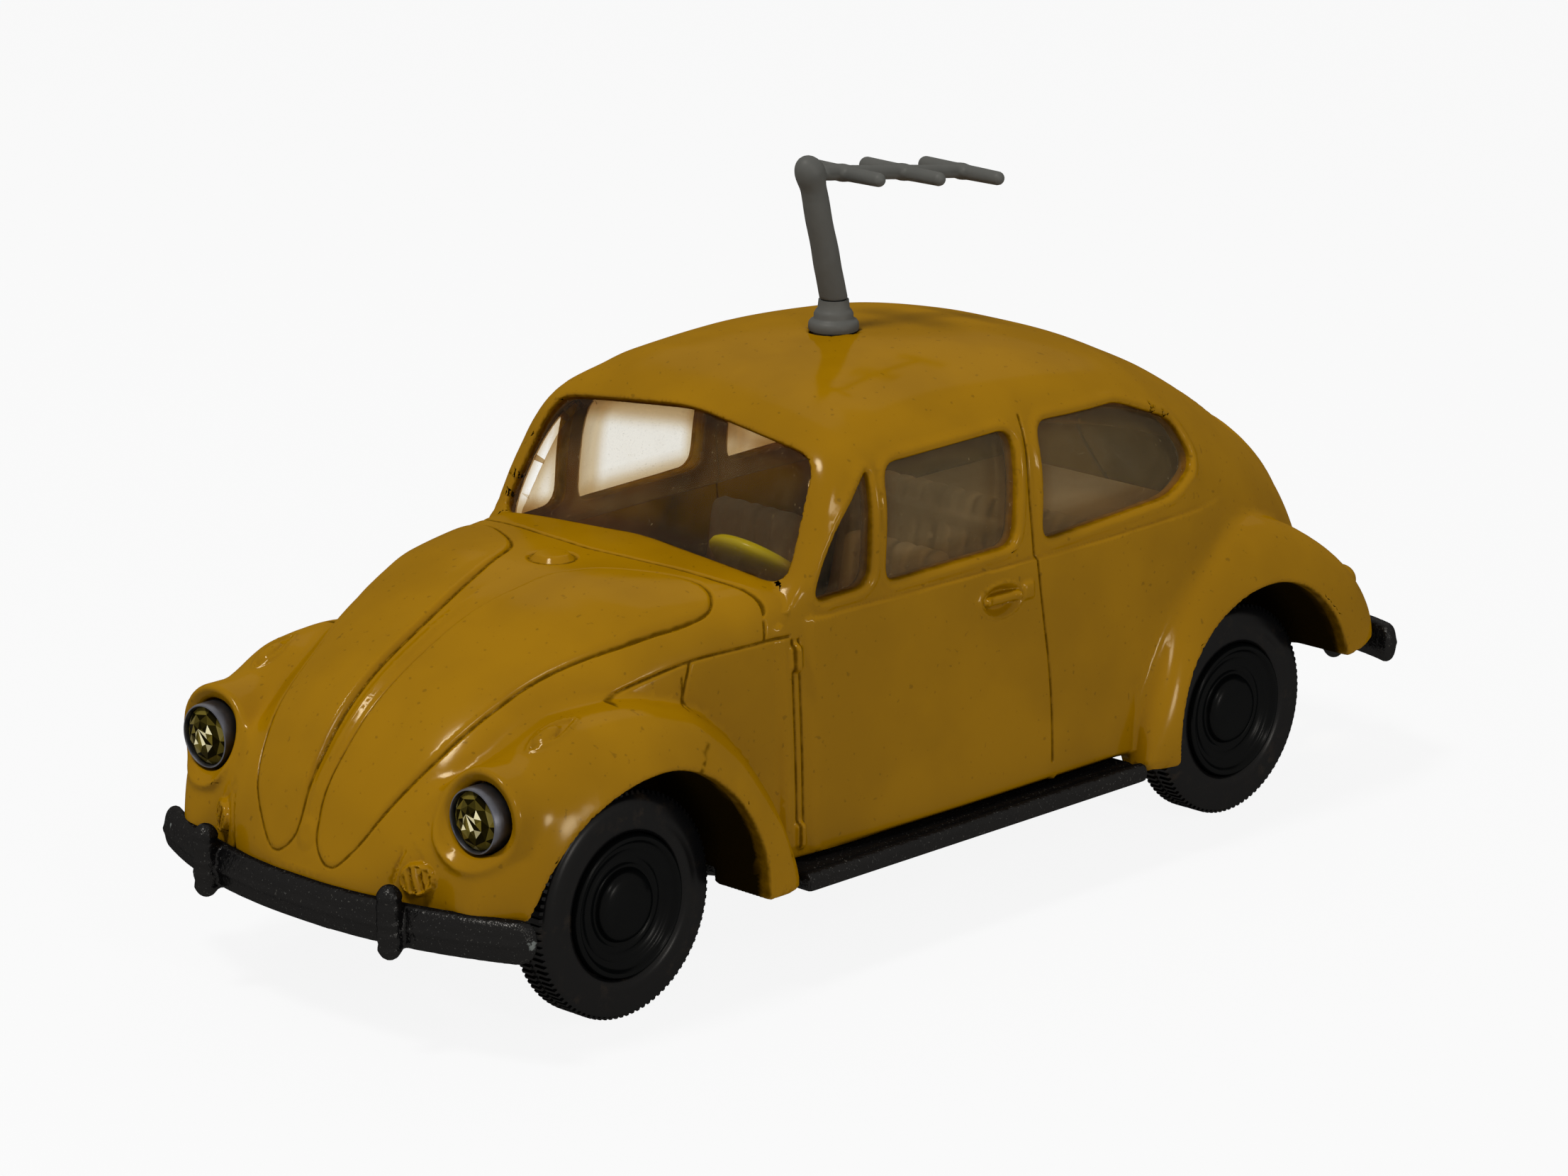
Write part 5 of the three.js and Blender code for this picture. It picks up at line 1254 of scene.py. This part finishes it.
aerial = {
    "seat": 35.65, "top": 37.35, "spigot": 1.3, "bore": 0.8, "low": 33.85,
    "pin": 0.5, "pinEnds": (33.9, 38.5), "foot": (aerialAt, 0, 37.38), "knuckle": (-0.2, 0, 45.9),
    "mast": (0.9, 0.84), "elbow": 0.78, "boom": (-14.9, 0, -2.1), "boomRadius": 0.5, "boomEnds": (1.3, 14.5),
    "elementRadius": 0.54, "elementHalf": 3.45, "elements": (3.0, 8.7, 14.4),
}
seat, up, spigot, bore, low = (aerial[k] for k in ("seat", "top", "spigot", "bore", "low"))
collarProfile = [
    (bore, low), (spigot, low), (spigot, seat - 0.29), (1.6, seat - 0.29), (1.65, seat - 0.1),
    (1.62, seat + 0.2), (1.5, seat + 0.36), (1.34, seat + 0.44), (1.28, seat + 0.56), (1.28, seat + 0.78),
    (1.18, seat + 0.98), (1.04, seat + 1.14), (0.98, up), (bore, up), (bore, low),
]
collarMesh = latheMesh(collarProfile, 64, (0, 0, 1), (aerialAt, 0, 0), 50)
finished("aerial_socket", collarMesh, "grey_plastic", "car", "aerial_collar")


def mastField(p):
    z = p[:, 2]
    pin = bar(p, *((aerialAt, 0, end) for end in aerial["pinEnds"]), aerial["pin"])
    mast = bar(p, aerial["foot"], aerial["knuckle"], *aerial["mast"])
    mast = mast + 0.02 * np.sin(1.3 * z + 2 * p[:, 0]) * eased(z, 38.5, 40)
    mast = cut(mast, aerial["foot"][2] - z, 0.15)
    elbow = np.linalg.norm(p - aerial["knuckle"], axis=1) - aerial["elbow"]
    stub = bar(p, aerial["knuckle"], np.array(aerial["knuckle"]) + (0.3, 0, 0.45), 0.7)
    return np.minimum(pin, joined(joined(mast, elbow, 0.7), stub, 0.4))


def rodField(p):
    start, way = np.array(aerial["knuckle"]), np.array(aerial["boom"])
    way = way / np.linalg.norm(way)
    size = aerial["boomRadius"]
    solid = bar(p, *(start + way * end for end in aerial["boomEnds"]), size, size - 0.06)
    reach, size = np.array((0, aerial["elementHalf"] - 0.3, 0)), aerial["elementRadius"]
    for along in aerial["elements"]:
        at = start + way * along
        arm = bar(p, at - reach, at + reach, size, size - 0.08)
        solid = joined(solid, arm, 0.35)
    return solid


mastMesh = castMesh(mastField, (-5, -2, 33), (2.2, 2, 48), 0.2)
finished("aerial_post", mastMesh, "grey_plastic", "aerial", "aerial_mast")
rodMesh = castMesh(rodField, (-17, -4.4, 42.6), (0.4, 4.4, 47.4), 0.16)
finished("aerial_rods", rodMesh, "grey_plastic", "aerial", "aerial_array")


# Camera, light and floor

shot = {
    "eye": (269.39, 258.39, 124.84), "right": (-0.69556, 0.71846, 0.00250),
    "up": (-0.19508, -0.19222, 0.96177), "forward": (-0.69147, -0.66848, -0.27386),
    "lens": 137.69, "sensor": 36, "clip": 0.01,
}


def setCamera():
    data = bpy.data.cameras.new("camera")
    data.lens = shot["lens"]
    data.sensor_width = shot["sensor"]
    data.sensor_fit = "HORIZONTAL"
    data.clip_start = shot["clip"]
    camera = bpy.data.objects.new("camera", data)
    bpy.context.scene.collection.objects.link(camera)
    axes = Matrix((shot["right"], shot["up"], [-v for v in shot["forward"]])).transposed()
    camera.matrix_world = Matrix.Translation(Vector(shot["eye"]) * mm) @ axes.to_4x4()
    bpy.context.scene.camera = camera


studio = {
    "world": 0.25, "floor": 0.6, "floorHalf": 3.0, "whiteShare": 0.9, "aim": (0, 0, 0.015),
    "lamps": [  # place in metres, size, power
        ((0.29, -0.02, 0.57), 0.13, 2.3),
        ((-0.08, 0.57, 0.10), 0.09, 0.55),
        ((0.17, 0.49, 0.35), 0.09, 0.5),
        ((-0.45, -0.30, 0.45), 0.6, 0.8),
    ],
}


def seenDirectly(start):  # one for what the camera sees, straight, mirrored or through the windows
    kinds = ("Is Camera Ray", "Is Transmission Ray", "Is Glossy Ray")
    camera, through, glossy = (start.node("ShaderNodeLightPath", None, kind) for kind in kinds)
    return start.math("MAXIMUM", start.math("MAXIMUM", camera, through), glossy)


def setStudio():
    scene = bpy.context.scene
    scene.view_settings.view_transform = "Standard"
    world = bpy.data.worlds.new("studio")
    world.use_nodes = True
    world.node_tree.nodes.clear()
    start = Wire(world.node_tree)
    strength = studio["world"] + (1 - studio["world"]) * seenDirectly(start)
    light = start.node("ShaderNodeBackground", {"Color": (1, 1, 1, 1), "Strength": strength})
    start.node("ShaderNodeOutputWorld", {"Surface": light})
    scene.world = world
    for place, size, power in studio["lamps"]:
        data = bpy.data.lights.new("softbox", "AREA")
        data.shape = "DISK"
        data.size = size
        data.energy = power
        softbox = bpy.data.objects.new("softbox", data)
        scene.collection.objects.link(softbox)
        turn = (Vector(studio["aim"]) - Vector(place)).to_track_quat("-Z", "Y")
        softbox.matrix_world = Matrix.Translation(place) @ turn.to_matrix().to_4x4()


def paleFloor(start, place):
    matt = start.node("ShaderNodeBsdfDiffuse", {"Color": (*[studio["floor"]] * 3, 1)})
    white = start.node("ShaderNodeEmission", {"Color": (1, 1, 1, 1), "Strength": 1.0})
    return (seenDirectly(start) * studio["whiteShare"]).blend(matt, white)


def setFloor():
    half = studio["floorHalf"]
    corners = [(-half, -half, 0), (half, -half, 0), (half, half, 0), (-half, half, 0)]
    mesh = bpy.data.meshes.new("floor")
    mesh.from_pydata(corners, [], [(0, 1, 2, 3)])
    mesh.materials.append(material("floor", paleFloor))
    floor = bpy.data.objects.new("floor", mesh)
    bpy.context.scene.collection.objects.link(floor)


setCamera()
setStudio()
setFloor()
print("studio: camera,", len(studio["lamps"]), "lamps and the floor")
